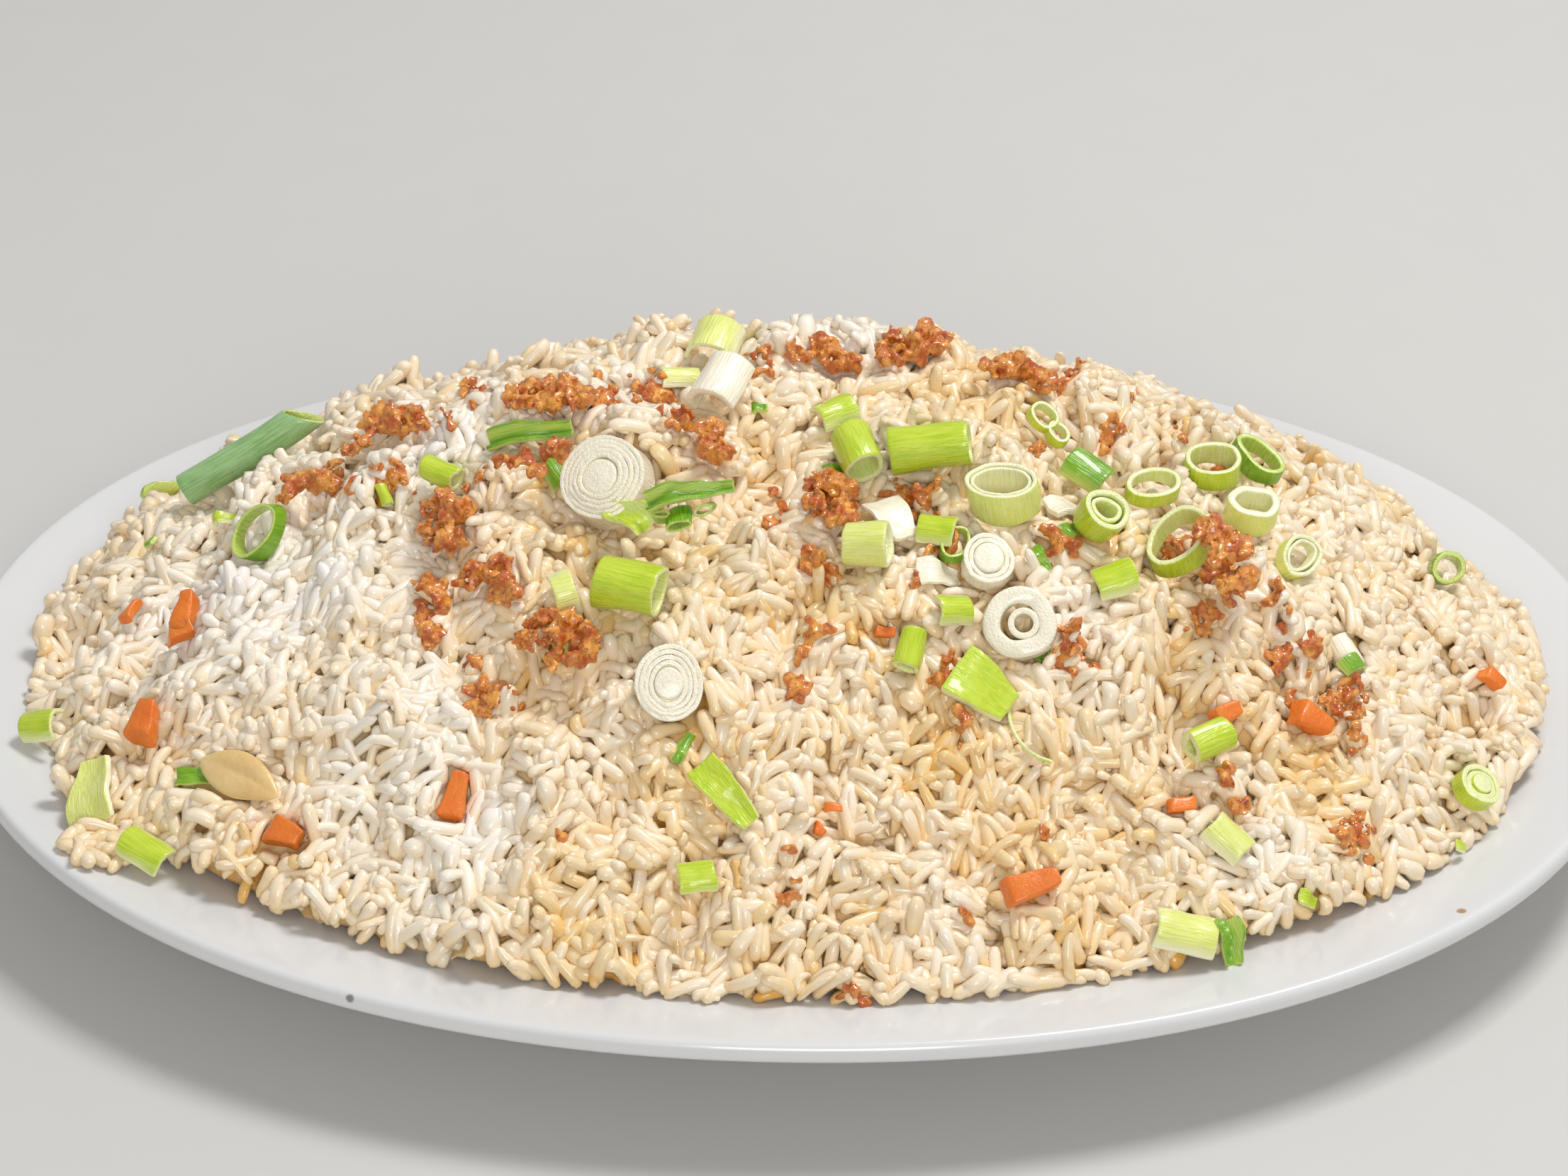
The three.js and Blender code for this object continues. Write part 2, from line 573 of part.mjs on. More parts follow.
    size: { radius: 3.8, arc: 160, length: 8 } },
  { name: "onion_heart_left", colour: "pale", shape: leaf, x: -134, y: -55, heading: 80,
    size: { length: 14, width: 10, thickness: 1.4 } },
  { name: "onion_piece_left_edge", colour: "green", shape: trough, x: -122, y: -71, heading: -35,
    size: { radius: 4, arc: 140, length: 10 } },
  { name: "onion_half_tube_edge", colour: "pale", shape: trough, x: 74, y: -93, heading: -8,
    size: { radius: 4.2, arc: 160, length: 12 } },
];

const GARLIC = [
  { name: "garlic_arc_left", x: -82, y: 12, heading: 0,
    size: { length: 19, width: 8, bow: 70, seed: 11 } },
  { name: "garlic_far_left", x: -98, y: 0, heading: 20,
    size: { length: 12, width: 7, count: 3, seed: 12 } },
  { name: "garlic_left_high", x: -68, y: -22, heading: 70,
    size: { length: 14, width: 13, seed: 13 } },
  { name: "garlic_left_low", x: -58, y: -37, heading: -30,
    size: { length: 13, width: 9, count: 3, seed: 14 } },
  { name: "garlic_back_left", x: -49, y: 2, heading: 10,
    size: { length: 20, width: 11, count: 5, seed: 15 } },
  { name: "garlic_middle", x: -18, y: -9, heading: -40,
    size: { length: 13, width: 10, count: 3, seed: 16 } },
  { name: "garlic_by_slice", x: -51, y: -19, heading: 0,
    size: { length: 15, width: 6, bow: -50, seed: 17 } },
  { name: "garlic_top_left", x: 5, y: 15, heading: 0,
    size: { length: 14, width: 9, count: 3, seed: 18 } },
  { name: "garlic_top", x: 22, y: 17, heading: 15,
    size: { length: 16, width: 10, seed: 19 } },
  { name: "garlic_centre", x: 7, y: -24, heading: 90,
    size: { length: 15, width: 12, seed: 20 } },
  { name: "garlic_back_right", x: 44, y: 12, heading: 0,
    size: { length: 14, width: 9, count: 3, seed: 21 } },
  { name: "garlic_right", x: 83, y: -35, heading: -60,
    size: { length: 18, width: 13, count: 5, seed: 22 } },
  { name: "garlic_front_left", x: -44, y: -53, heading: -50,
    size: { length: 16, width: 13, seed: 23 } },
];
for (const cluster of GARLIC) {
  cluster.colour = "garlic";
  cluster.shape = crumbs;
}

const CLOVE = {
  name: "garlic_clove_slice", colour: "clove", shape: cloveSlice, x: -105, y: -62, heading: -35,
  size: { length: 19, width: 8, thickness: 2.6 },
};

// Small pieces pressed into the rice, part of its node: length, width and height of each lump.
const GARLIC_BITS = [
  { x: -65, y: 16 }, { x: -93, y: 5 }, { x: -87, y: -8 }, { x: -80, y: -8 }, { x: -69, y: -36 },
  { x: -28, y: 12 }, { x: -8, y: 11 }, { x: 5, y: -36 }, { x: 23, y: -19 }, { x: 55, y: 21 },
  { x: 62, y: 7 }, { x: 50, y: -29 }, { x: 97, y: -38 }, { x: 107, y: -42 }, { x: 108, y: -50 },
  { x: 84, y: -67 }, { x: 106, y: -68 }, { x: 4, y: -51 }, { x: 0, y: -59 }, { x: 52, y: -50 },
  { x: 38, y: -67 }, { x: -56, y: -59 }, { x: -1, y: -94 }, { x: 70, y: -46 }, { x: 12, y: -104 },
];
const CARROT_BITS = [
  { x: -120, y: -22 }, { x: -125, y: -44 }, { x: -95, y: -73 }, { x: -63, y: -74 }, { x: 100, y: -50 },
  { x: 45, y: -90 }, { x: 139, y: -17 },
];
const GARLIC_BIT = { length: 7, width: 5, height: 3.6 };
const CARROT_BIT = { length: 8, width: 5, height: 4 };

// ---- Setting the toppings on the heap ----

const caster = new THREE.Raycaster();
const DOWN = UP.clone().negate();
const ABOVE_ALL = 2 * HEAP_PEAK;
const PRESS_REACH = 2.3; // how far round a topping the rice gives way
const SUNK_SHARE = 0.22; // share of a topping's corners that lie in the rice before it gives way
const REST_GAP = GAP + 0.2; // between the sampled points, so that edges which cross keep their gap too

// Height of the highest surface of some meshes over a point, or undefined beside them.
function topOver(meshes, x, y) {
  caster.set(new THREE.Vector3(x, y, ABOVE_ALL), DOWN);
  return caster.intersectObjects(meshes)[0]?.point.z;
}

// Height of a mesh's underside over a point, or undefined beside it.
function undersideOver(mesh, x, y) {
  caster.set(new THREE.Vector3(x, y, -HEAP_PEAK), UP);
  return caster.intersectObject(mesh)[0]?.point.z;
}

function cornersOf(mesh) {
  const places = mesh.geometry.getAttribute("position");
  return Array.from({ length: places.count }, (_, k) =>
    new THREE.Vector3().fromBufferAttribute(places, k).applyMatrix4(mesh.matrixWorld));
}

// The corners and centres of the faces that look up, or of those that look down.
function facePoints(mesh, lookUp) {
  const corners = cornersOf(mesh);
  const index = mesh.geometry.index ? mesh.geometry.index.array : corners.map((_, k) => k);
  const points = [];
  for (let k = 0; k < index.length; k += 3) {
    const face = new THREE.Triangle(corners[index[k]], corners[index[k + 1]], corners[index[k + 2]]);
    const looksUp = face.getNormal(new THREE.Vector3()).z > 0;
    if (looksUp === lookUp) points.push(face.a, face.b, face.c, face.getMidpoint(new THREE.Vector3()));
  }
  return points;
}

const SLOPE_STEP = 5; // half the width over which the heap's slope is taken

// The way the heap's surface looks at a place, smoothed over a few grains.
function slopeAt(x, y) {
  const rise = (dx, dy) => heapHeight(x + dx, y + dy) - heapHeight(x - dx, y - dy);
  return new THREE.Vector3(-rise(SLOPE_STEP, 0), -rise(0, SLOPE_STEP), 2 * SLOPE_STEP).normalize();
}

// A topping turned to its place, with some of its corners sunk in the rice.
function stand({ name, colour, shape, x, y, axis, heading, size }) {
  const mesh = solid(name, colour, shape(size));
  const up = axis ? new THREE.Vector3(...axis).normalize() : slopeAt(x, y);
  const angle = THREE.MathUtils.degToRad(heading);
  const along = new THREE.Vector3(Math.cos(angle), Math.sin(angle), 0).projectOnPlane(up).normalize();
  const across = up.clone().cross(along);
  mesh.quaternion.setFromRotationMatrix(new THREE.Matrix4().makeBasis(along, across, up));
  mesh.position.set(x, y, 0);
  mesh.updateMatrixWorld(true);
  const heights = cornersOf(mesh).map((corner) => corner.z - heapHeight(corner.x, corner.y));
  heights.sort((low, high) => low - high);
  mesh.position.z = -heights[Math.floor(SUNK_SHARE * heights.length)];
  mesh.updateMatrixWorld(true);
  return mesh;
}

// The lowest underside of a mesh over a point and a ring of points round it.
function lowestOver(mesh, x, y) {
  let lowest = undersideOver(mesh, x, y) ?? Infinity;
  for (let k = 0; k < 8; k++) {
    const turn = (TAU * k) / 8;
    const under = undersideOver(mesh, x + PRESS_REACH * Math.cos(turn), y + PRESS_REACH * Math.sin(turn));
    lowest = Math.min(lowest, under ?? Infinity);
  }
  return lowest;
}

// Whether a point, seen from above, lies outside a box.
function beside(point, box) {
  return point.x < box.min.x || point.x > box.max.x || point.y < box.min.y || point.y > box.max.y;
}

// Lowers the heap's upper points under the toppings.
function pressHeap(points, topCount, toppings) {
  for (const mesh of toppings) {
    const box = new THREE.Box3().setFromObject(mesh).expandByScalar(PRESS_REACH);
    for (const point of points.slice(0, topCount - PLATE_SIDES)) {
      if (beside(point, box)) continue;
      const floor = plateHeightAt(point.x, point.y) + HEAP_EDGE;
      point.z = Math.max(floor, Math.min(point.z, lowestOver(mesh, point.x, point.y) - GAP));
    }
  }
}

// Raises a topping until it is a gap above everything under it; a support is a mesh and its upper points.
function settle(mesh, supports) {
  const box = new THREE.Box3().setFromObject(mesh);
  const near = supports.filter((support) => support.box.intersectsBox(box));
  const meshes = near.map((support) => support.mesh);
  let least = Infinity;
  for (const point of facePoints(mesh, false)) {
    least = Math.min(least, point.z - (topOver(meshes, point.x, point.y) ?? -Infinity));
  }
  for (const point of near.flatMap((support) => support.points)) {
    if (beside(point, box)) continue;
    least = Math.min(least, (undersideOver(mesh, point.x, point.y) ?? Infinity) - point.z);
  }
  mesh.position.z += Math.max(0, REST_GAP - least);
  mesh.updateMatrixWorld(true);
  return supportOf(mesh);
}

function supportOf(mesh) {
  return { mesh, points: facePoints(mesh, true), box: new THREE.Box3().setFromObject(mesh) };
}

// A small lump half sunk in the rice, turned along the slope.
function bit({ x, y }, size, colour, seed, heap) {
  const shape = () => crumb(size.length, size.width, size.height, seed);
  const mesh = stand({ name: "bit", colour, shape, x, y, heading: 77 * seed });
  mesh.position.z = topOver([heap], x, y);
  mesh.updateMatrixWorld(true);
  return mesh;
}

function build() {
  const group = new THREE.Group();
  const dish = solid("plate", "plate", plate());
  const shell = heapShell();
  const toppings = [...ONIONS, ...GARLIC, CLOVE].map(stand);
  pressHeap(shell.points, shell.top, toppings);
  const heap = solid("rice_heap", "rice", geometryOf(shell.points, shell.faces));
  const supports = [dish, heap].map(supportOf);
  for (const topping of toppings) {
    supports.push(settle(topping, supports));
  }
  const boxes = supports.slice(2).map((support) => support.box.clone().expandByScalar(GAP));
  const bits = [
    ...GARLIC_BITS.map((place, k) => bit(place, GARLIC_BIT, "garlic", 200 + 20 * k, heap)),
    ...CARROT_BITS.map((place, k) => bit(place, CARROT_BIT, "carrot", 900 + 20 * k, heap)),
  ].filter((mesh) => !boxes.some((box) => box.intersectsBox(new THREE.Box3().setFromObject(mesh))));
  const pressed = bits.map((mesh) => mesh.geometry.clone().applyMatrix4(mesh.matrixWorld));
  heap.geometry = join([heap.geometry, ...pressed]);
  group.add(...supports.map((support) => support.mesh));
  return group;
}

export default build();
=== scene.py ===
"""A platter of fried rice, dressed over its solids: a smooth glazed plate, thousands of separate grains that
lie on each other, spring onion cut in tubes, rings and leaves, crusts of fried garlic, carrot and a slice of
clove. Shapes are modelled in millimetres about their own origin and then put in their places in metres."""

import math

import bpy
import numpy as np
from mathutils import Matrix, Vector, noise
from mathutils.bvhtree import BVHTree


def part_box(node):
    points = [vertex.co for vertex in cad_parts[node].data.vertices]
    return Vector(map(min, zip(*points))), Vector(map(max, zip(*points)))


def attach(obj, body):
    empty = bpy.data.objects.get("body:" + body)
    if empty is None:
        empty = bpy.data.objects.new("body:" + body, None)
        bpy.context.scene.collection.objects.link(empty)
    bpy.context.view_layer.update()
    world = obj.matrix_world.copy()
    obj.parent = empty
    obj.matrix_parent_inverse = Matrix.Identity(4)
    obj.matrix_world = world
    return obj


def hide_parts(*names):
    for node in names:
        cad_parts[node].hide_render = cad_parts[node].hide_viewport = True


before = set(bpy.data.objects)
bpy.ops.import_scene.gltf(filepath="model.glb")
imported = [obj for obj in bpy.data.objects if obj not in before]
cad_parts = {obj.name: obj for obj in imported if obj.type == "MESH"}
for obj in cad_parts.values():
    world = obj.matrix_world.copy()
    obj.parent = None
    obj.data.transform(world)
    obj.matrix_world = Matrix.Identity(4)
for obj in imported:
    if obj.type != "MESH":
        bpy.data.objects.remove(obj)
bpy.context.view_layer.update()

MM = 0.001
bpy.ops.object.select_all(action="DESELECT")

# ---- Driving dimensions, in millimetres ----

PLATE_LENGTH = 340
PLATE_WIDTH = 244.6
PLATE_HEIGHT = 25
PLATE_SQUARENESS = 2.09  # exponent of the outline: 2 is a true ellipse
GRAIN_LENGTH = 8.8
GRAIN_WIDTH = 2.85
RICE_DEPTH = 5.0  # thickness of the loose grains over the core
FIELD_STEP = 0.4  # spacing of the height fields

IMAGE_WIDTH = 2212
IMAGE_HEIGHT = 1659
FOCAL_PIXELS = 5600
SENSOR = 36
CAMERA_PITCH = math.radians(34.3)
CAMERA_ROLL = math.radians(0.95)
CAMERA_AIM = Vector((-1.8, 24.4, 25))
CAMERA_DISTANCE = 833


# ---- Camera, light and floor ----

def camera_axes():
    """Right, up and forward of the camera."""
    forward = Vector((0, math.cos(CAMERA_PITCH), -math.sin(CAMERA_PITCH)))
    level = Vector((1, 0, 0))
    upright = level.cross(forward)
    right = math.cos(CAMERA_ROLL) * level + math.sin(CAMERA_ROLL) * upright
    up = math.cos(CAMERA_ROLL) * upright - math.sin(CAMERA_ROLL) * level
    return right, up, forward


def camera_place():
    """Where the camera stands, in millimetres."""
    return CAMERA_AIM - CAMERA_DISTANCE * camera_axes()[2]


def make_camera():
    right, up, forward = camera_axes()
    data = bpy.data.cameras.new("camera")
    data.sensor_width = SENSOR
    data.lens = FOCAL_PIXELS / IMAGE_WIDTH * SENSOR
    camera = bpy.data.objects.new("camera", data)
    bpy.context.collection.objects.link(camera)
    turn = Matrix((right, up, -forward)).transposed().to_4x4()
    camera.matrix_world = Matrix.Translation(camera_place() * MM) @ turn
    bpy.context.scene.camera = camera


def make_lamp(name, place, size, power, colour):
    """A soft square lamp that looks at the heap."""
    data = bpy.data.lights.new(name, "AREA")
    data.shape = "SQUARE"
    data.size = size
    data.energy = power
    data.color = colour
    lamp = bpy.data.objects.new(name, data)
    bpy.context.collection.objects.link(lamp)
    lamp.location = place
    lamp.rotation_euler = (Vector((0, 0, 0.04)) - Vector(place)).to_track_quat("-Z", "Y").to_euler()


def make_studio():
    make_lamp("ceiling_lamp", (0.42, 0.30, 1.25), 0.36, 11.2, (1.0, 1.0, 1.0))
    make_lamp("front_lamp", (0.1, -1.3, 0.78), 0.5, 6.8, (1.0, 1.0, 1.0))
    world = bpy.data.worlds.new("studio")
    world.use_nodes = True
    background = world.node_tree.nodes["Background"]
    background.inputs["Color"].default_value = (1.0, 1.0, 1.0, 1)
    background.inputs["Strength"].default_value = 0.4
    bpy.context.scene.world = world
    bpy.context.scene.view_settings.view_transform = "Standard"
    bpy.ops.mesh.primitive_plane_add(size=6, location=(0, 0, -0.0002))
    floor = bpy.context.object
    floor.name = "studio_floor"
    floor.data.materials.append(floor_material())


# ---- Nodes ----

def paint(code, alpha=1):
    """A colour written as six hexadecimal digits, as a linear colour."""
    shares = [int(code[k:k + 2], 16) / 255 for k in (0, 2, 4)]
    return [s / 12.92 if s <= 0.04045 else ((s + 0.055) / 1.055) ** 2.4 for s in shares] + [alpha]


def add(tree, kind, inputs=None, **settings):
    """A new node; each input is a value or another node's output."""
    node = tree.nodes.new(kind)
    for key, value in settings.items():
        setattr(node, key, value)
    for key, value in (inputs or {}).items():
        if isinstance(value, bpy.types.NodeSocket):
            tree.links.new(value, node.inputs[key])
        else:
            node.inputs[key].default_value = value
    return node


def mixed(tree, factor, first, second):
    """A colour between two colours."""
    node = add(tree, "ShaderNodeMix", {0: factor, 6: first, 7: second}, data_type="RGBA")
    return node.outputs[2]


def spread(tree, value, low, high, to_low=0.0, to_high=1.0):
    """A value's range from low to high, stretched to another range."""
    node = add(tree, "ShaderNodeMapRange", {"Value": value, "From Min": low, "From Max": high,
                                            "To Min": to_low, "To Max": to_high})
    return node.outputs["Result"]


def grainy(tree, vector, scale, detail=3.0, roughness=0.55):
    """Soft noise about 0.5 over a vector."""
    node = add(tree, "ShaderNodeTexNoise", {"Vector": vector, "Scale": scale, "Detail": detail,
                                            "Roughness": roughness})
    return node.outputs["Fac"]


def sockets(group, side, names):
    """Declares a group's inputs or outputs: {name: socket type}."""
    for name, kind in names.items():
        group.interface.new_socket(name, in_out=side, socket_type=kind)


def mottle_group():
    """Fine and broad variation over a piece, used by every food material."""
    group = bpy.data.node_groups.new("mottle", "ShaderNodeTree")
    sockets(group, "INPUT", {"Fine scale": "NodeSocketFloat", "Broad scale": "NodeSocketFloat"})
    sockets(group, "OUTPUT", {"Fine": "NodeSocketFloat", "Broad": "NodeSocketFloat"})
    entry = add(group, "NodeGroupInput")
    place = add(group, "ShaderNodeTexCoord").outputs["Object"]
    fine = grainy(group, place, entry.outputs["Fine scale"], 4.0)
    broad = grainy(group, place, entry.outputs["Broad scale"], 2.0)
    add(group, "NodeGroupOutput", {"Fine": fine, "Broad": broad})
    return group


def fibre_group():
    """Lines that run along a cut of onion, and patches that fade along it, from its own coordinates."""
    group = bpy.data.node_groups.new("fibre", "ShaderNodeTree")
    sockets(group, "INPUT", {"Line scale": "NodeSocketFloat"})
    sockets(group, "OUTPUT", {"Lines": "NodeSocketFloat", "Patches": "NodeSocketFloat", "Skin": "NodeSocketFloat"})
    entry = add(group, "NodeGroupInput")
    own = add(group, "ShaderNodeAttribute", attribute_name="own").outputs["Vector"]
    skin = add(group, "ShaderNodeAttribute", attribute_name="skin").outputs["Fac"]
    drawn_out = add(group, "ShaderNodeMapping", {"Vector": own, "Scale": (1, 1, 0.07)}).outputs["Vector"]
    lines = grainy(group, drawn_out, entry.outputs["Line scale"], 2.0, 0.6)
    patches = grainy(group, own, 0.16, 2.0)
    add(group, "NodeGroupOutput", {"Lines": lines, "Patches": patches, "Skin": skin})
    return group


MOTTLE = mottle_group()
FIBRE = fibre_group()


def new_material(name, roughness, **constants):
    """A material with a Principled shader; constants are set on its own sockets."""
    material = bpy.data.materials.new(name)
    material.use_nodes = True
    tree = material.node_tree
    shader = tree.nodes["Principled BSDF"]
    shader.inputs["Roughness"].default_value = roughness
    for key, value in constants.items():
        shader.inputs[key.replace("_", " ")].default_value = value
    return material, tree, shader


def mottle_node(tree, fine, broad):
    node = tree.nodes.new("ShaderNodeGroup")
    node.node_tree = MOTTLE
    node.inputs["Fine scale"].default_value = fine
    node.inputs["Broad scale"].default_value = broad
    return node.outputs


def fibre_node(tree, scale):
    node = tree.nodes.new("ShaderNodeGroup")
    node.node_tree = FIBRE
    node.inputs["Line scale"].default_value = scale
    return node.outputs


def bumped(tree, shader, height, depth, strength=1.0):
    """Feeds a height, in millimetres of depth, to the shader's normal."""
    node = add(tree, "ShaderNodeBump", {"Height": height, "Distance": depth * MM, "Strength": strength})
    tree.links.new(node.outputs["Normal"], shader.inputs["Normal"])


def feed(tree, shader, colour=None, roughness=None):
    if colour is not None:
        tree.links.new(colour, shader.inputs["Base Color"])
    if roughness is not None:
        tree.links.new(roughness, shader.inputs["Roughness"])


def floor_material():
    material, tree, shader = new_material("pale_floor", 0.6)
    look = mottle_node(tree, 60.0, 2.0)
    feed(tree, shader, mixed(tree, look["Broad"], paint("cbc8c4"), paint("d1cfcb")),
         spread(tree, look["Fine"], 0.3, 0.7, 0.55, 0.68))
    return material


def spot_mask(tree, place, centre, radius):
    """1 in a small uneven spot, 0 round it."""
    wobble = add(tree, "ShaderNodeTexNoise", {"Vector": place, "Scale": 900.0, "Detail": 2.0}).outputs["Color"]
    strayed = add(tree, "ShaderNodeVectorMath", {0: wobble, "Scale": 0.5 * radius * MM}, operation="SCALE")
    moved = add(tree, "ShaderNodeVectorMath", {0: place, 1: strayed.outputs[0]}, operation="ADD")
    away = add(tree, "ShaderNodeVectorMath", {0: moved.outputs[0], 1: Vector(centre) * MM}, operation="DISTANCE")
    return spread(tree, away.outputs["Value"], 1.25 * radius * MM, 0.75 * radius * MM)


def plate_material():
    material, tree, shader = new_material("plate_glaze", 0.2, Coat_Weight=0.35, Coat_Roughness=0.08)
    look = mottle_node(tree, 900.0, 14.0)
    place = add(tree, "ShaderNodeTexCoord").outputs["Object"]
    glaze = mixed(tree, look["Broad"], paint("d9d9d9"), paint("dedede"))
    chipped = mixed(tree, spot_mask(tree, place, CHIP_AT, 0.8), glaze, paint("8b8680"))
    stained = mixed(tree, spot_mask(tree, place, STAIN_AT, 0.9), chipped, paint("b08a62"))
    feed(tree, shader, stained, spread(tree, look["Fine"], 0.3, 0.7, 0.16, 0.26))
    bumped(tree, shader, look["Broad"], 0.05)
    return material


def rice_material():
    """Wet grains, each in its own tint, which also holds painted shade on their undersides and in the heap's deep
    places; paler and rougher in places.
    """
    material, tree, shader = new_material("rice", 0.4, Coat_Weight=0.6, Coat_Roughness=0.08, IOR=1.4)
    look = mottle_node(tree, 1900.0, 420.0)
    # the tint holds each grain's own colour together with its painted shade
    tint = add(tree, "ShaderNodeAttribute", attribute_name="tint").outputs["Color"]
    chalk = mixed(tree, spread(tree, look["Broad"], 0.52, 0.7, 0.0, 0.35), tint, paint("fbf2e2"))
    feed(tree, shader, chalk, spread(tree, look["Fine"], 0.3, 0.7, 0.2, 0.42))
    bumped(tree, shader, look["Fine"], 0.1)
    return material


def onion_material(name, outer, streak, inner, cut):
    """Onion flesh: its outer skin is streaked along the cut, its inner wall and its cut edges are paler."""
    material, tree, shader = new_material(
        name, 0.3, Coat_Weight=0.5, Coat_Roughness=0.1)
    fibre = fibre_node(tree, 2.3)
    look = mottle_node(tree, 1500.0, 260.0)
    lines = spread(tree, fibre["Lines"], 0.36, 0.64)
    skin = mixed(tree, lines, paint(outer), paint(streak))
    skin = mixed(tree, spread(tree, fibre["Patches"], 0.4, 0.68, 0.0, 0.6), skin, paint(streak))
    wall = mixed(tree, lines, paint(inner), paint(cut))
    body = mixed(tree, spread(tree, fibre["Skin"], -0.45, -0.75), paint(cut), wall)
    whole = mixed(tree, spread(tree, fibre["Skin"], 0.35, 0.8), body, skin)
    feed(tree, shader, whole, spread(tree, look["Fine"], 0.3, 0.7, 0.2, 0.42))
    bumped(tree, shader, fibre["Lines"], 0.3)
    return material


def garlic_material():
    """Fried crust: glossy caramel with amber flakes and darker burnt places."""
    material, tree, shader = new_material("garlic_fried", 0.3, Coat_Weight=0.8, Coat_Roughness=0.06)
    look = mottle_node(tree, 1100.0, 330.0)
    amber = mixed(tree, spread(tree, look["Broad"], 0.36, 0.66), paint("c0580a"), paint("f2a848"))
    burnt = mixed(tree, spread(tree, look["Fine"], 0.53, 0.68, 0.0, 0.8), amber, paint("8a3404"))
    feed(tree, shader, burnt, spread(tree, look["Fine"], 0.3, 0.7, 0.18, 0.45))
    bumped(tree, shader, look["Fine"], 0.5)
    return material


def carrot_material():
    material, tree, shader = new_material(
        "carrot", 0.32, Subsurface_Weight=0.3, Subsurface_Scale=1.2 * MM, Subsurface_Radius=(1.0, 0.5, 0.1),
        Coat_Weight=0.3, Coat_Roughness=0.15)
    look = mottle_node(tree, 1200.0, 200.0)
    feed(tree, shader, mixed(tree, look["Broad"], paint("e0600c"), paint("f29433")),
         spread(tree, look["Fine"], 0.3, 0.7, 0.22, 0.45))
    bumped(tree, shader, look["Fine"], 0.3)
    return material


def clove_material():
    material, tree, shader = new_material(
        "garlic_clove", 0.28, Subsurface_Weight=0.45, Subsurface_Scale=2.0 * MM,
        Subsurface_Radius=(1.0, 0.8, 0.4), Coat_Weight=0.35, Coat_Roughness=0.12)
    look = mottle_node(tree, 700.0, 150.0)
    feed(tree, shader, mixed(tree, look["Broad"], paint("d8ae68"), paint("ecd29a")),
         spread(tree, look["Fine"], 0.3, 0.7, 0.2, 0.4))
    bumped(tree, shader, look["Fine"], 0.2)
    return material


def speck_material():
    material, tree, shader = new_material("pepper_speck", 0.5)
    look = mottle_node(tree, 3000.0, 900.0)
    feed(tree, shader, mixed(tree, look["Fine"], paint("15110d"), paint("3a2a1c")))
    return material


# ---- Height fields over the plate ----

HALF_X = 174
HALF_Y = 126
FIELD_X = np.arange(-HALF_X, HALF_X + FIELD_STEP, FIELD_STEP)
FIELD_Y = np.arange(-HALF_Y, HALF_Y + FIELD_STEP, FIELD_STEP)
SHAPE = (len(FIELD_Y), len(FIELD_X))
DOWN = Vector((0, 0, -1))
NOWHERE = -1000.0


def column(x):
    return np.clip(np.rint((x + HALF_X) / FIELD_STEP).astype(int), 0, SHAPE[1] - 1)


def row(y):
    return np.clip(np.rint((y + HALF_Y) / FIELD_STEP).astype(int), 0, SHAPE[0] - 1)


def tree_of(piece):
    """A search tree over a piece's faces, in millimetres."""
    points = [vertex.co / MM for vertex in piece.data.vertices]
    return BVHTree.FromPolygons(points, [tuple(face.vertices) for face in piece.data.polygons])


def surface_field(tree, step=1.2):
    """Height of a surface seen from above, cast every step and filled in between."""
    xs = np.arange(-HALF_X, HALF_X + step, step)
    ys = np.arange(-HALF_Y, HALF_Y + step, step)
    coarse = np.full((len(ys), len(xs)), NOWHERE)
    for i, y in enumerate(ys):
        for j, x in enumerate(xs):
            hit = tree.ray_cast(Vector((x, y, 200)), DOWN)[0]
            if hit:
                coarse[i, j] = hit.z
    return resampled(coarse, xs, ys)


def resampled(coarse, xs, ys):
    """A coarse grid brought to the fields' spacing."""
    step = xs[1] - xs[0]
    u = (FIELD_X - xs[0]) / step
    v = (FIELD_Y - ys[0]) / step
    j = np.clip(u.astype(int), 0, len(xs) - 2)
    i = np.clip(v.astype(int), 0, len(ys) - 2)
    fu = (u - j)[None, :]
    fv = (v - i)[:, None]
    corner = [coarse[np.ix_(i + di, j + dj)] for di, dj in ((0, 0), (0, 1), (1, 0), (1, 1))]
    inside = np.minimum.reduce(corner) > NOWHERE
    blend = (corner[0] * (1 - fu) + corner[1] * fu) * (1 - fv) + (corner[2] * (1 - fu) + corner[3] * fu) * fv
    return np.where(inside, blend, NOWHERE)


def smooth_noise(size, seed):
    """Noise between -1 and 1 over the fields, its bumps about size millimetres apart."""
    draw = np.random.default_rng(seed)
    xs = np.arange(-HALF_X - size, HALF_X + 2 * size, size)
    ys = np.arange(-HALF_Y - size, HALF_Y + 2 * size, size)
    grid = draw.uniform(-1, 1, (len(ys), len(xs)))
    u = (FIELD_X - xs[0]) / size
    v = (FIELD_Y - ys[0]) / size
    j = u.astype(int)
    i = v.astype(int)
    ease = lambda t: t * t * (3 - 2 * t)
    fu = ease(u - j)[None, :]
    fv = ease(v - i)[:, None]
    corner = [grid[np.ix_(i + di, j + dj)] for di, dj in ((0, 0), (0, 1), (1, 0), (1, 1))]
    return (corner[0] * (1 - fu) + corner[1] * fu) * (1 - fv) + (corner[2] * (1 - fu) + corner[3] * fu) * fv


def plate_inset():
    """How far each cell lies inside the plate's outline, away from the plate's middle."""
    n = PLATE_SQUARENESS
    x = np.abs(2 * FIELD_X / PLATE_LENGTH)[None, :]
    y = np.abs(2 * FIELD_Y / PLATE_WIDTH)[:, None]
    share = np.maximum((x ** n + y ** n) ** (1 / n), 0.01)
    return (1 / share - 1) * np.hypot(FIELD_X[None, :], FIELD_Y[:, None])


def pixel_ray(px, py):
    """Direction from the camera through a point of the 2212 x 1659 picture."""
    right, up, forward = camera_axes()
    across = float(px - IMAGE_WIDTH / 2) / FOCAL_PIXELS
    above = float(IMAGE_HEIGHT / 2 - py) / FOCAL_PIXELS
    return (forward + across * right + above * up).normalized()


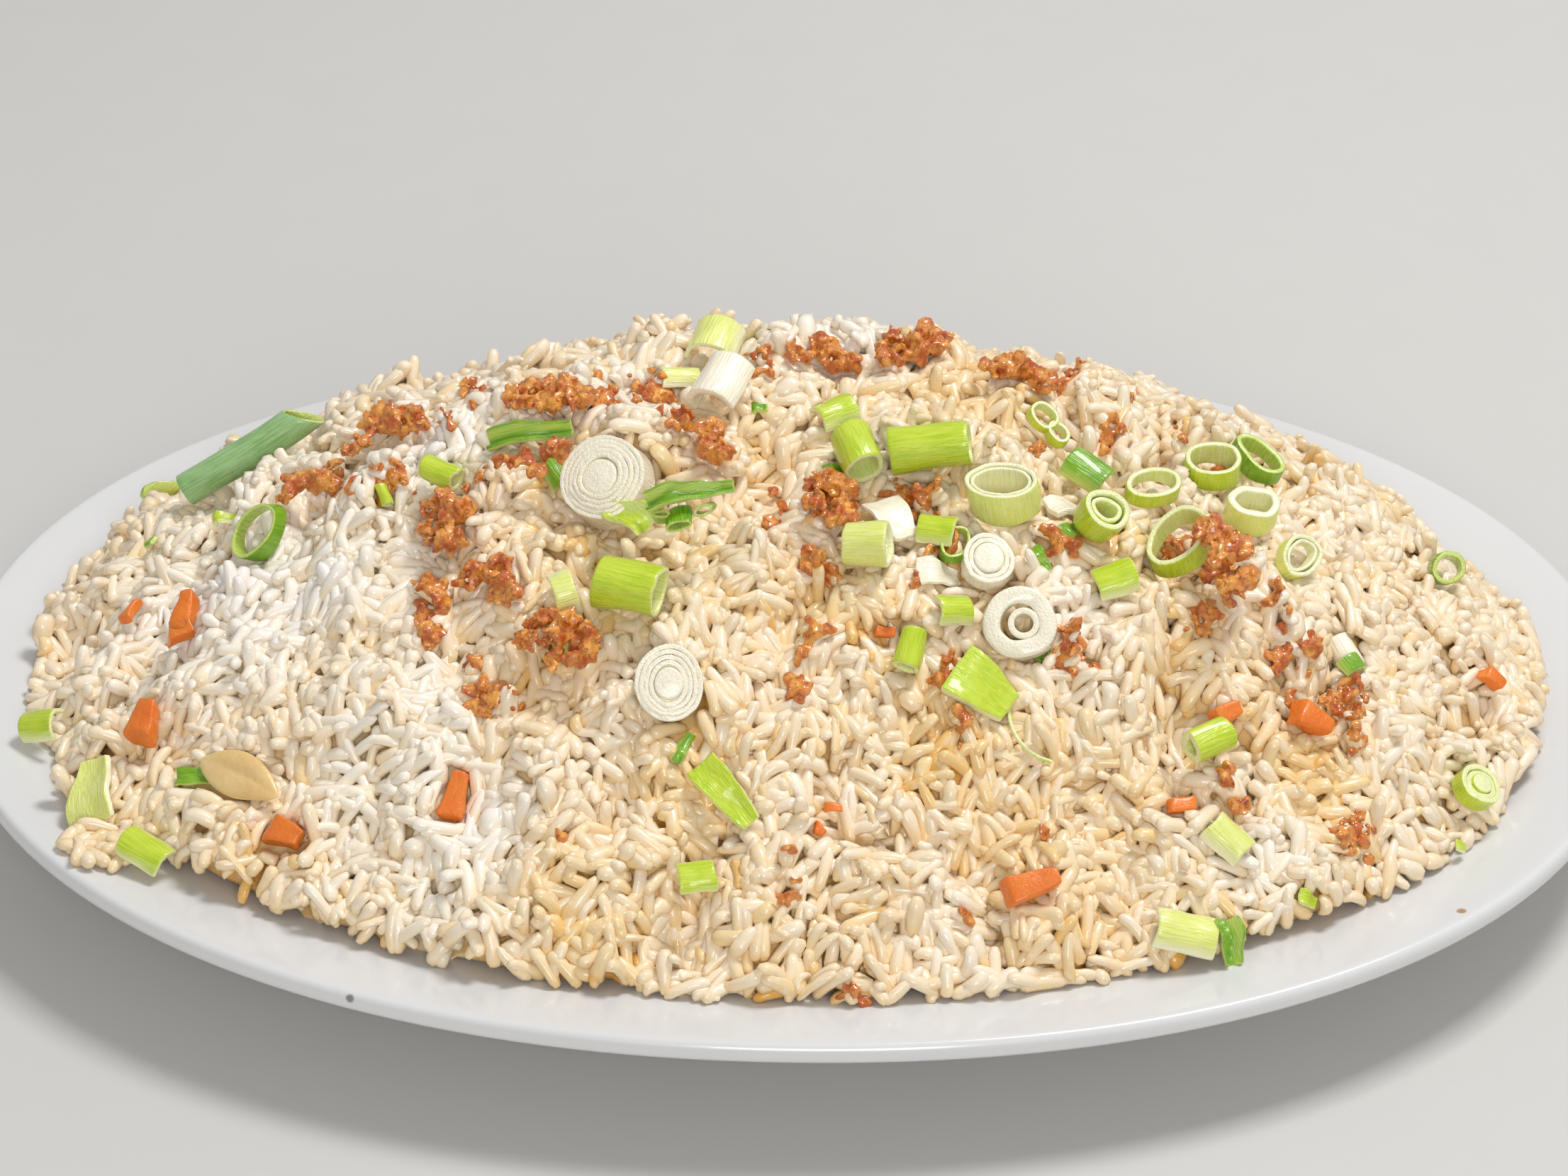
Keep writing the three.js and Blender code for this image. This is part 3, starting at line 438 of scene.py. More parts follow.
def spot(px, py):
    """The place on the heap or the plate that shows at a point of the picture."""
    start = camera_place()
    ray = pixel_ray(px, py)
    hits = [tree.ray_cast(start, ray) for tree in (HEAP_TREE, PLATE_TREE)]
    hits = [hit for hit in hits if hit[0] is not None]
    return min(hits, key=lambda hit: hit[3])[0]


def slope_at(x, y, reach=5):
    """The way the heap looks at a place, smoothed over a few grains."""
    def height(px, py):
        hit = HEAP_TREE.ray_cast(Vector((px, py, 200)), DOWN)[0]
        return hit.z if hit else PLATE_HEIGHT - 3
    rise_x = height(x + reach, y) - height(x - reach, y)
    rise_y = height(x, y + reach) - height(x, y - reach)
    return Vector((-rise_x, -rise_y, 2 * reach)).normalized()


# ---- Modelling helpers; a shape is in millimetres until it is placed ----

def select_only(piece):
    bpy.ops.object.select_all(action="DESELECT")
    piece.select_set(True)
    bpy.context.view_layer.objects.active = piece


def edit(piece):
    select_only(piece)
    bpy.ops.object.mode_set(mode="EDIT")
    bpy.ops.mesh.select_all(action="SELECT")


def done():
    bpy.ops.object.mode_set(mode="OBJECT")


def apply_modifier(piece, kind, **settings):
    """Adds a modifier and applies it at once."""
    modifier = piece.modifiers.new(kind.lower(), kind)
    for key, value in settings.items():
        setattr(modifier, key, value)
    select_only(piece)
    bpy.ops.object.modifier_apply(modifier=modifier.name)


def thicken(piece, wall, offset=-1.0):
    apply_modifier(piece, "SOLIDIFY", thickness=wall, offset=offset, use_even_offset=True)


def round_off(piece, width, levels=1):
    """Small bevels that hold the edges, then a subdivision."""
    apply_modifier(piece, "BEVEL", width=width, segments=1, limit_method="ANGLE",
                   angle_limit=math.radians(45))
    apply_modifier(piece, "SUBSURF", levels=levels, render_levels=levels)


def outward(piece):
    edit(piece)
    bpy.ops.mesh.remove_doubles(threshold=1e-4)
    bpy.ops.mesh.normals_make_consistent(inside=False)
    done()


def smooth(piece, angle=60):
    select_only(piece)
    bpy.ops.object.shade_smooth_by_angle(angle=math.radians(angle))


def wobble(piece, amount, size, seed, along=1.0):
    """Moves each corner a little, so that no cut is quite regular."""
    shift = Vector((seed * 3.7, seed * 1.3, seed * 7.1))
    for vertex in piece.data.vertices:
        at = vertex.co / size + shift
        push = noise.noise_vector(at)
        vertex.co += amount * Vector((push.x, push.y, push.z * along))


def reshape(piece, move):
    """Gives each corner the place that move() makes of it."""
    for vertex in piece.data.vertices:
        vertex.co = move(vertex.co.copy())


def joined(pieces):
    """Several shapes as one piece."""
    bpy.ops.object.select_all(action="DESELECT")
    for piece in pieces:
        piece.select_set(True)
    bpy.context.view_layer.objects.active = pieces[0]
    bpy.ops.object.join()
    return pieces[0]


def remember_own(piece, radial=True):
    """Stores each corner's own place, and whether it lies on the outer skin (1), a cut (0) or the inside (-1)."""
    mesh = piece.data
    count = len(mesh.vertices)
    places = np.empty(3 * count)
    mesh.vertices.foreach_get("co", places)
    normals = np.array([vertex.normal[:] for vertex in mesh.vertices])
    own = mesh.attributes.new("own", "FLOAT_VECTOR", "POINT")
    own.data.foreach_set("vector", places)
    places = places.reshape(-1, 3)
    if radial:
        out = places * (1, 1, 0)
        out /= np.maximum(np.linalg.norm(out, axis=1), 1e-6)[:, None]
        skin = (normals * out).sum(axis=1)
    else:
        skin = normals[:, 2]
    mesh.attributes.new("skin", "FLOAT", "POINT").data.foreach_set("value", skin)


def placement(centre, heading, up):
    """The turn and place of a shape whose length points to heading, in degrees, and whose top looks up."""
    angle = math.radians(heading)
    along = Vector((math.cos(angle), math.sin(angle), 0))
    along = (along - along.dot(up) * up).normalized()
    turn = Matrix((along, up.cross(along), up)).transposed().to_4x4()
    return Matrix.Translation(centre) @ turn


def finish_piece(piece, name, material, nodes=()):
    """Names a placed piece, turns it to metres and hangs it on the frame."""
    piece.name = name
    piece.data.name = name
    piece.data.transform(Matrix.Scale(MM, 4))
    piece.data.materials.clear()
    piece.data.materials.append(material)
    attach(piece, "root")
    if nodes:
        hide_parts(*nodes)
    return piece


def box_middle(points):
    return Vector((np.array(points).min(axis=0) + np.array(points).max(axis=0)) / 2)


def set_in_node(piece, node, heading, axis=None):
    """Turns a shape as its solid lies and puts its middle in the solid's middle."""
    low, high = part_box(node)
    middle = (Vector(low) + Vector(high)) / 2 / MM
    up = Vector(axis).normalized() if axis else slope_at(middle.x, middle.y)
    piece.data.transform(placement(Vector((0, 0, 0)), heading, up))
    own_middle = box_middle([vertex.co[:] for vertex in piece.data.vertices])
    piece.data.transform(Matrix.Translation(middle - own_middle))


def set_on_heap(piece, px, py, heading, lift=0.6, axis=None, roll=0):
    """Lays a shape on the heap at a point of the picture."""
    place = spot(px, py)
    up = Vector(axis).normalized() if axis else slope_at(place.x, place.y)
    piece.data.transform(placement(place + lift * up, heading, up) @ Matrix.Rotation(math.radians(roll), 4, "X"))


# ---- Onion shapes ----

TUBE_SIDES = 22
TUBE_ROWS = 4


def wall_of(across, deep, length, rows=TUBE_ROWS, sides=TUBE_SIDES):
    """An open upright wall of onion about Z."""
    bpy.ops.mesh.primitive_circle_add(vertices=sides, radius=across / 2)
    piece = bpy.context.object
    edit(piece)
    for _ in range(rows):
        bpy.ops.mesh.extrude_edges_move(TRANSFORM_OT_translate={"value": (0, 0, length / rows)})
    bpy.ops.mesh.select_all(action="SELECT")
    bpy.ops.transform.resize(value=(1, deep / across, 1), center_override=(0, 0, 0))
    bpy.ops.transform.translate(value=(0, 0, -length / 2))
    done()
    outward(piece)
    return piece


def tube(across, length, deep=None, wall=1.15, slant=0.0, seed=1, layers=1, rough=0.9):
    """A tube of spring onion about Z: oval, uneven, its upper end slanted, with layers inside it."""
    deep = deep or across
    parts = []
    for layer in range(layers):
        room = layer * (wall + 0.25)
        share = 1 - 0.12 * layer
        part = wall_of(across - 2 * room, deep - 2 * room, share * length)
        wobble(part, rough, 8.0, seed, along=0.8)
        wobble(part, 0.22 * rough, 2.2, seed + layer, along=1.6)
        reshape(part, lambda co: co + Vector((0, 0, slant * co.x if co.z > 0 else 0)))
        thicken(part, 0.8 * wall if layer else wall)
        round_off(part, 0.1 * wall + 0.04)
        remember_own(part)
        parts.append(part)
    piece = joined(parts)
    smooth(piece)
    return piece


def half_tube(radius, arc, length, wall=1.0, seed=1, flare=0.0):
    """Part of a tube's wall along X, arched over its length through an arc of degrees."""
    bpy.ops.mesh.primitive_grid_add(x_subdivisions=6, y_subdivisions=12, size=1)
    piece = bpy.context.object
    half_arc = math.radians(arc) / 2

    def bend(co):
        turn = 2 * co.y * half_arc
        out = radius * (1 + flare * (co.x + 0.5))
        return Vector((co.x * length, out * math.sin(turn), out * math.cos(turn) - radius))

    reshape(piece, bend)
    wobble(piece, 0.4, 4.0, seed)
    thicken(piece, wall)
    round_off(piece, 0.1 * wall + 0.03)
    own_axis_along_z(piece)
    smooth(piece)
    return piece


def own_axis_along_z(piece):
    """Stores own places with the fibre direction along Z, for a shape whose length is along X."""
    remember_own(piece, radial=False)
    data = piece.data.attributes["own"].data
    places = np.empty(3 * len(data))
    data.foreach_get("vector", places)
    data.foreach_set("vector", places.reshape(-1, 3)[:, [2, 1, 0]].ravel())


def leaf(length, width, wave=1.0, thickness=0.9, taper=0.45, curl=0.0, ragged=0.35, seed=1):
    """A thin wavy cut of leaf along X, narrower at one end, its sides curled up."""
    bpy.ops.mesh.primitive_grid_add(x_subdivisions=14, y_subdivisions=8, size=1)
    piece = bpy.context.object

    def bend(co):
        u = co.x + 0.5
        half = width * (1 - taper * u * u)
        z = wave * math.sin(1.6 * math.pi * u) + 0.5 * wave * (2 * co.y) ** 2
        turn = curl * 2 * co.y
        return Vector((co.x * length, half * co.y * math.cos(turn * 0.5), z + half * abs(co.y) * math.sin(abs(turn))))

    reshape(piece, bend)
    wobble(piece, ragged, 2.2, seed)
    thicken(piece, thickness)
    round_off(piece, 0.1 * thickness)
    own_axis_along_z(piece)
    smooth(piece)
    return piece


def disc_layer(across, deep, low, high, wall, seed):
    """One skin of a bulb slice, from low to high."""
    part = wall_of(across, deep, high - low, rows=3)
    part.data.transform(Matrix.Translation((0, 0, (low + high) / 2)))
    wobble(part, 0.8, 9.0, seed, along=0.3)
    thicken(part, wall)
    round_off(part, 0.07)
    wobble(part, 0.12, 1.6, seed + across, along=1.5)
    remember_own(part)
    return part


def plug(across, deep, low, high, seed):
    """The solid heart of a bulb slice."""
    bpy.ops.mesh.primitive_cylinder_add(vertices=TUBE_SIDES, radius=across / 2, depth=high - low,
                                        location=(0, 0, 0), end_fill_type="NGON")
    part = bpy.context.object
    edit(part)
    bpy.ops.transform.resize(value=(1, deep / across, 1), center_override=(0, 0, 0))
    bpy.ops.mesh.select_mode(type="FACE")
    bpy.ops.mesh.select_all(action="DESELECT")
    done()
    for face in part.data.polygons:
        face.select = abs(face.normal.z) > 0.9
    bpy.ops.object.mode_set(mode="EDIT")
    bpy.ops.mesh.inset(thickness=0.22 * across, depth=0)
    bpy.ops.mesh.inset(thickness=0.14 * across, depth=0.03 * across)
    done()
    part.data.transform(Matrix.Translation((0, 0, (low + high) / 2)))
    wobble(part, 0.5, 9.0, seed)
    round_off(part, 0.15)
    remember_own(part)
    return part


def bulb_slice(across, length, deep=None, skins=4, heart=0.42, seed=1):
    """A slice of white bulb: close skins round a pale heart, cut a little unevenly."""
    deep = deep or across
    draw = np.random.default_rng(seed)
    half = length / 2
    parts = []
    step = (1 - heart) * across / 2 / skins
    for k in range(skins):
        room = k * step
        top = half - draw.uniform(0.0, 0.35) + 0.12 * k
        parts.append(disc_layer(across - 2 * room, deep - 2 * room, -half * (1 - 0.1 * k), top, 0.99 * step, seed))
    parts.append(plug(heart * across, heart * deep, -half * 0.7, half + 0.4, seed))
    parts.append(plug(0.9 * across, 0.9 * deep, -half * 0.8, half - 0.8, seed))
    piece = joined(parts)
    smooth(piece)
    return piece


def lying(piece):
    """Turns a shape about Z so that its length is along X."""
    piece.data.transform(Matrix.Rotation(math.pi / 2, 4, "Y"))
    return piece


# ---- Garlic, carrot and clove shapes ----

CRUMB_KINDS = 6


def crumb_shape(seed, cuts=9, subdivisions=2):
    """An angular crumb about 2 across, as corners and faces: a ball cut by random planes."""
    bpy.ops.mesh.primitive_ico_sphere_add(subdivisions=subdivisions, radius=1)
    ball = bpy.context.object
    points = np.array([vertex.co[:] for vertex in ball.data.vertices])
    faces = np.array([face.vertices[:] for face in ball.data.polygons])
    bpy.data.objects.remove(ball)
    draw = np.random.default_rng(seed)
    normals = draw.normal(size=(cuts, 3))
    normals /= np.linalg.norm(normals, axis=1)[:, None]
    depth = draw.uniform(0.3, 0.85, cuts)
    reach = points @ normals.T
    limit = np.where(reach > 1e-6, depth / np.maximum(reach, 1e-6), 9.0).min(axis=1)
    points *= np.minimum(1.0, limit)[:, None]
    points += draw.normal(scale=0.05, size=points.shape)
    return points, faces


def random_turns(draw, count):
    """Random rotation matrices."""
    q = draw.normal(size=(count, 4))
    q /= np.linalg.norm(q, axis=1)[:, None]
    w, x, y, z = q.T
    rows = [[1 - 2 * (y * y + z * z), 2 * (x * y - w * z), 2 * (x * z + w * y)],
            [2 * (x * y + w * z), 1 - 2 * (x * x + z * z), 2 * (y * z - w * x)],
            [2 * (x * z - w * y), 2 * (y * z + w * x), 1 - 2 * (x * x + y * y)]]
    return np.array(rows).transpose(2, 0, 1)


def mesh_piece(name, points, faces, tints=None):
    """A piece from arrays of corners, triangles and tints."""
    mesh = bpy.data.meshes.new(name)
    mesh.vertices.add(len(points))
    mesh.vertices.foreach_set("co", np.asarray(points, dtype=np.float32).ravel())
    mesh.loops.add(3 * len(faces))
    mesh.loops.foreach_set("vertex_index", np.asarray(faces, dtype=np.int32).ravel())
    mesh.polygons.add(len(faces))
    mesh.polygons.foreach_set("loop_start", np.arange(0, 3 * len(faces), 3, dtype=np.int32))
    mesh.update(calc_edges=True)
    mesh.validate()
    mesh.shade_smooth()
    if tints is not None:
        layer = mesh.attributes.new("tint", "FLOAT_COLOR", "POINT")
        layer.data.foreach_set("color", np.asarray(tints, dtype=np.float32).ravel())
    piece = bpy.data.objects.new(name, mesh)
    bpy.context.collection.objects.link(piece)
    return piece


def scattered(name, shapes, kinds, centres, turns, sizes, tints, under=(1, 1, 1)):
    """One piece of many copies: each has a kind of shape, a centre, a turn, a size on each axis and a tint,
    which is darkened by the colour under towards its underside: painted shade."""
    shade_share = 1 - np.array([*under, 1])
    all_points, all_faces, all_tints = [], [], []
    start = 0
    for k, (points, faces) in enumerate(shapes):
        chosen = np.nonzero(kinds == k)[0]
        if not len(chosen):
            continue
        placed = np.einsum("nij,npj->npi", turns[chosen], points[None] * sizes[chosen, None, :])
        # painted shade: each copy's tint is darkened towards its underside, the lowest corners most
        low = np.clip(0.45 - 0.5 * placed[:, :, 2] / sizes[chosen, None, 1], 0, 1)
        all_tints.append((tints[chosen, None, :] * (1 - low[:, :, None] * shade_share)).reshape(-1, 4))
        placed += centres[chosen, None, :]
        offsets = start + len(points) * np.arange(len(chosen))
        all_points.append(placed.reshape(-1, 3))
        all_faces.append((faces[None] + offsets[:, None, None]).reshape(-1, 3))
        start += len(points) * len(chosen)
    return mesh_piece(name, np.concatenate(all_points), np.concatenate(all_faces), np.concatenate(all_tints))


CRUMB_SHAPES = [crumb_shape(40 + k) for k in range(CRUMB_KINDS)]
NO_TINT = np.ones(4)


def crumb_cloud(name, centres, low, high, seed, fuse):
    """Fried crumbs of random size between low and high at given centres, stuck together where they touch."""
    draw = np.random.default_rng(seed)
    count = len(centres)
    size = draw.uniform(low, high, count)[:, None] * draw.uniform(0.45, 1.4, (count, 3))
    piece = scattered(name, CRUMB_SHAPES, draw.integers(0, CRUMB_KINDS, count), np.asarray(centres),
                      random_turns(draw, count), size, np.tile(NO_TINT, (count, 1)))
    apply_modifier(piece, "REMESH", mode="VOXEL", voxel_size=fuse, adaptivity=0.1)
    smooth(piece, 35)
    return piece


def points_on(piece_tree_points, faces, count, draw):
    """Random points on triangles, by area, with the triangles' normals."""
    a, b, c = (piece_tree_points[faces[:, k]] for k in range(3))
    cross = np.cross(b - a, c - a)
    area = np.linalg.norm(cross, axis=1)
    chosen = draw.choice(len(faces), count, p=area / area.sum())
    u = np.sqrt(draw.random(count))[:, None]
    v = draw.random(count)[:, None]
    points = a[chosen] * (1 - u) + b[chosen] * u * (1 - v) + c[chosen] * u * v
    return points, cross[chosen] / area[chosen, None]


def node_arrays(node):
    """A solid's corners in millimetres and its triangles."""
    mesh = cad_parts[node].data
    points = np.array([vertex.co[:] for vertex in mesh.vertices]) / MM
    mesh.calc_loop_triangles()
    return points, np.array([triangle.vertices[:] for triangle in mesh.loop_triangles])


GARLIC_CRUMB = (0.9, 2.2)  # half sizes of a crumb in a crust
CRUMBS_PER_AREA = 0.34


def garlic_crust(node, seed):
    """A crust of crumbs that fills its solid's place."""
    draw = np.random.default_rng(seed)
    points, faces = node_arrays(node)
    a, b, c = (points[faces[:, k]] for k in range(3))
    area = np.linalg.norm(np.cross(b - a, c - a), axis=1).sum() / 2
    places, normals = points_on(points, faces, int(CRUMBS_PER_AREA * area), draw)
    places -= normals * draw.uniform(0.2, 1.9, (len(places), 1))
    return crumb_cloud(node + "_crust", places, *GARLIC_CRUMB, seed, 0.32)


def garlic_patch(px, py, wide, tall, top, seed):
    """Places of crumbs in a small crust that shows wide x tall pixels at a point of the picture."""
    draw = np.random.default_rng(seed)
    count = max(4, int(wide * tall / 85))
    spots = []
    while len(spots) < count:
        u, v = draw.normal(scale=0.26, size=2)
        if u * u + v * v > 0.26:
            continue
        place = spot(px + u * wide, py + v * tall)
        ground = max(top[row(place.y), column(place.x)], place.z - 2)
        spots.append((place.x, place.y, ground + draw.uniform(-0.2, 0.6) + 1.2 * (0.5 - math.hypot(u, v))))
    return spots


def carrot_piece(length, width, height, seed):
    """A small cut of carrot with uneven slanted faces."""
    bpy.ops.mesh.primitive_cube_add(size=1)
    piece = bpy.context.object
    edit(piece)
    bpy.ops.mesh.subdivide(number_cuts=2)
    bpy.ops.transform.resize(value=(length, width, height), center_override=(0, 0, 0))
    done()
    reshape(piece, lambda co: Vector((co.x + 0.35 * co.z, co.y * (1 - 0.5 * co.x / length), co.z)))
    wobble(piece, 0.9, 3.0, seed)
    round_off(piece, 0.3)
    smooth(piece)
    return piece


def clove_piece(length, width, thickness):
    """A slice of clove: a long half oval with a plump back, a thin front and a crease between them."""
    bpy.ops.mesh.primitive_uv_sphere_add(segments=28, ring_count=16, radius=1)
    piece = bpy.context.object

    def form(co):
        x, y, z = co
        narrow = 1 - 0.35 * x * x - 0.12 * x
        plump = 0.6 + 0.55 * max(0.0, y)
        crease = 0.16 * math.exp(-((y - 0.08) / 0.16) ** 2) * (z > 0)
        return Vector((x * length / 2, (y * narrow + 0.12 * (1 - x * x)) * width / 2,
                       (z * plump - crease * (1 - x * x)) * thickness / 2))

    reshape(piece, form)
    wobble(piece, 0.3, 5.0, 3)
    apply_modifier(piece, "SUBSURF", levels=1, render_levels=1)
    smooth(piece)
    return piece


# ---- The plate ----

PLATE_TOP = [(0, 22.4), (1.4, 25), (4, 24.6), (24, 20), (34, 14), (46, 7.6), (56, 6)]
PLATE_PROFILE = [  # inset from the outline and height: up the underside, over the lip and down to the well
    (62, 2), (60, 1.9), (59.2, 0), (58.6, 0), (54, 0), (53, 0), (52.4, 0.4), (50, 1.8), (40, 6.6), (32, 11),
    (18, 15.6), (6, 20), (1.4, 20.9), (0.1, 21.3), (0, 22.6), (0.25, 24), (1.0, 24.9), (2.0, 25),
    (4, 24.6), (14, 22.4), (22, 20.6), (25.5, 19.3), (29, 17.2), (34, 14), (42, 9.4), (47, 7.3), (52, 6.3),
    (57, 6), (62, 6)]
PLATE_SIDES = 96
CHIP_AT = (-79.5, -109.0, 24.2)
STAIN_AT = (127.0, -79.0, 24.7)


def plate_piece():
    half_long = PLATE_LENGTH / 2
    half_wide = PLATE_WIDTH / 2
    first_inset, first_height = PLATE_PROFILE[0]
    bpy.ops.mesh.primitive_circle_add(vertices=PLATE_SIDES, radius=1, fill_type="NGON")
    piece = bpy.context.object
    edit(piece)
    bpy.ops.transform.resize(value=(half_long - first_inset, half_wide - first_inset, 1), center_override=(0, 0, 0))
    bpy.ops.transform.translate(value=(0, 0, first_height))
    for (inset, height), (next_inset, next_height) in zip(PLATE_PROFILE, PLATE_PROFILE[1:]):
        bpy.ops.mesh.extrude_region_move(TRANSFORM_OT_translate={"value": (0, 0, next_height - height)})
        grow = ((half_long - next_inset) / (half_long - inset), (half_wide - next_inset) / (half_wide - inset), 1)
        bpy.ops.transform.resize(value=grow, center_override=(0, 0, 0))
    done()
    close_below(piece, first_height)
    reshape(piece, squared)
    outward(piece)
    apply_modifier(piece, "SUBSURF", levels=1, render_levels=1)
    smooth(piece, 50)
    return piece


def close_below(piece, height):
    """Fills the ring that the first extrusion left open."""
    lowest_ring = [v for v in piece.data.vertices if abs(v.co.z - height) < 0.05]
    edit(piece)
    bpy.ops.mesh.select_all(action="DESELECT")
    bpy.ops.mesh.select_mode(type="EDGE")
    bpy.ops.mesh.select_non_manifold()
    if lowest_ring:
        bpy.ops.mesh.edge_face_add()
    done()


def squared(co):
    """Moves a point from the true ellipse to the plate's slightly squarer outline."""
    u = abs(2 * co.x / PLATE_LENGTH)
    v = abs(2 * co.y / PLATE_WIDTH)
    share = (u ** PLATE_SQUARENESS + v ** PLATE_SQUARENESS) ** (1 / PLATE_SQUARENESS)
    grow = math.hypot(u, v) / share if share else 1
    return Vector((co.x * grow, co.y * grow, co.z))


# ---- Toppings ----

GREEN = ("b2d018", "cede44", "dcea78", "eef0b4")
DARK_GREEN = ("5c980c", "86b41c", "aac840", "ccdc74")
WAXY_GREEN = ("7cae5c", "a4c88c", "b8cc5c", "d4dc84")
PALE = ("dce668", "eaee94", "ecf0ac", "f8f6d0")
WHITE = ("f8ecd0", "fdf6e2", "f2efc8", "fcf4dc")


def make_materials():
    return {
        "plate_glaze": plate_material(),
        "rice": rice_material(),
        "onion_green": onion_material("onion_green", *GREEN),
        "onion_dark_green": onion_material("onion_dark_green", *DARK_GREEN),
        "onion_waxy": onion_material("onion_waxy", *WAXY_GREEN),
        "onion_pale": onion_material("onion_pale", *PALE),
        "onion_white": onion_material("onion_white", *WHITE),
        "garlic_fried": garlic_material(),
        "garlic_clove": clove_material(),
        "carrot": carrot_material(),
    }


MATERIALS = make_materials()
HEAP_TREE = tree_of(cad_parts["rice_heap"])
PLATE_TREE = tree_of(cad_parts["plate"])

# node, slot, shape, heading, way its top looks, sizes
ONIONS = [
    ("onion_tube_long", "onion_green", "lying", 4, (-0.5, 0.2, 0.8), dict(across=7, length=30, slant=0.8, wall=0.8)),
    ("onion_curl_left", "onion_dark_green", "tube", 40, (-0.5, -0.6, 0.6), dict(across=13, deep=9, wall=0.8, length=4)),
    ("onion_tube_small", "onion_green", "lying", -35, None, dict(across=5, length=7.5)),
    ("onion_strip_back", "onion_dark_green", "leaf", 5, None, dict(length=17, width=4.2, curl=1.2)),
    ("bulb_slice_big", "onion_white", "slice", 0, (-0.35, -0.6, 0.72), dict(across=17.5, length=7.6, skins=5)),
    ("onion_section_back", "onion_pale", "half", 75, None, dict(radius=5.5, arc=170, length=9)),
    ("bulb_half_back", "onion_white", "half", 60, None, dict(radius=5.5, arc=190, length=11, wall=1.6)),
    ("onion_leaf_light", "onion_green", "leaf", 150, None, dict(length=9, width=7, curl=0.8)),
    ("onion_leaf_curly", "onion_dark_green", "curly", 8, None, dict(length=17, width=8)),
    ("onion_piece_top", "onion_green", "half", 30, None, dict(radius=4, arc=150, length=8)),
    ("onion_tube_top", "onion_green", "lying", -70, None, dict(across=8.5, length=10)),
    ("onion_tube_lying", "onion_green", "lying", 0, None, dict(across=9, length=16)),
    ("onion_ring_pair", "onion_green", "pair", -50, None, dict(across=6.5, wall=0.8, length=2.2)),
    ("onion_ring_pale", "onion_pale", "tube", -10, (-0.15, -0.15, 0.97),
     dict(across=14, deep=10.5, wall=1.0, length=7, layers=2)),
    ("onion_petal", "onion_white", "leaf", -60, None, dict(length=11, width=8.5, wave=0.8)),
    ("onion_wedge_middle", "onion_green", "half", -15, None, dict(radius=3.5, arc=160, length=7.5)),
    ("onion_tube_pale", "onion_pale", "lying", -10, None, dict(across=8.5, length=8.5, layers=2)),
    ("bulb_piece", "onion_white", "slice", 0, None, dict(across=10, length=4, skins=2, heart=0.6)),
    ("onion_half_tube", "onion_green", "half", 15, None, dict(radius=3.5, arc=150, length=7)),
    ("bulb_ring_white", "onion_white", "cored", 0, (-0.1, -0.72, 0.68), dict(across=14, wall=3.4, length=3.6)),
    ("onion_cut_flat", "onion_green", "leaf", -35, None, dict(length=13, width=11, wave=0.7, thickness=1.8)),
    ("onion_wedge_front", "onion_green", "lying", 70, None, dict(across=5.5, length=7.5)),
    ("onion_strip_right", "onion_dark_green", "half", -35, None, dict(radius=4.5, arc=150, length=9)),
    ("onion_ring_right", "onion_green", "tube", 10, (0.05, -0.3, 0.95), dict(across=11, deep=8.5, length=3.4)),
    ("onion_ring_thick", "onion_green", "tube", 0, (0.35, -0.45, 0.82),
     dict(across=9.5, wall=1.3, length=7, layers=2)),
    ("onion_ring_large", "onion_green", "tube", 40, (-0.3, -0.38, 0.84), dict(across=14.5, deep=11, length=5.5)),
    ("onion_wedge_right", "onion_green", "half", 20, None, dict(radius=4, arc=150, length=8)),
    ("onion_ring_back", "onion_green", "tube", 0, (0, -0.25, 0.97), dict(across=12, deep=9, length=5.5)),
    ("onion_loop_back", "onion_dark_green", "tube", -40, (0.2, -0.3, 0.9), dict(across=12, deep=7, length=4.5)),
    ("onion_ring_yellow", "onion_pale", "tube", 0, (0.1, -0.3, 0.95), dict(across=10.5, deep=9, wall=1.7, length=6)),
    ("onion_ring_faint", "onion_pale", "tube", 60, (0.5, -0.5, 0.7),
     dict(across=10.5, deep=8, wall=0.9, length=3, layers=2)),
    ("onion_ring_dark", "onion_dark_green", "tube", 0, (0.1, -0.8, 0.6), dict(across=7, wall=1.1, length=5)),
    ("onion_stem_right", "onion_green", "lying", 35, None, dict(across=6.6, length=8.5, wall=1.6)),
    ("onion_ring_far_right", "onion_green", "slice", 0, None, dict(across=9.5, length=3.5, skins=2, heart=0.5)),
    ("onion_piece_right", "onion_pale", "half", -40, None, dict(radius=4, arc=150, length=8.5)),
    ("onion_arch", "onion_pale", "half", 25, None, dict(radius=4.5, arc=190, length=4.5)),
    ("onion_tube_front", "onion_green", "lying", -20, None, dict(across=10, length=12)),
    ("bulb_slice_front", "onion_white", "slice", 0, (0, -0.75, 0.66),
     dict(across=13.6, deep=14.6, length=4.9, skins=4)),
    ("onion_strip_front", "onion_green", "leaf", -60, None, dict(length=15, width=6.5)),
    ("onion_square_front", "onion_green", "half", 10, None, dict(radius=4, arc=110, length=7)),
    ("onion_tube_on_rim", "onion_green", "half", -10, None, dict(radius=3.8, arc=160, length=8)),
    ("onion_heart_left", "onion_pale", "leaf", 80, None, dict(length=14, width=10, thickness=1.4, wave=1.4)),
    ("onion_piece_left_edge", "onion_green", "half", -35, None, dict(radius=4, arc=140, length=10)),
    ("onion_half_tube_edge", "onion_pale", "half", -8, None, dict(radius=4.2, arc=160, length=12)),
]


def ring_pair(across, wall, length, seed):
    """Two thin rings of one cut, grown together like a figure of eight."""
    small = tube(0.75 * across, length, deep=0.6 * across, wall=wall, seed=seed + 1)
    small.data.transform(Matrix.Translation((0.7 * across, 0, 0)))
    return joined([tube(across, length, deep=0.85 * across, wall=wall, seed=seed), small])


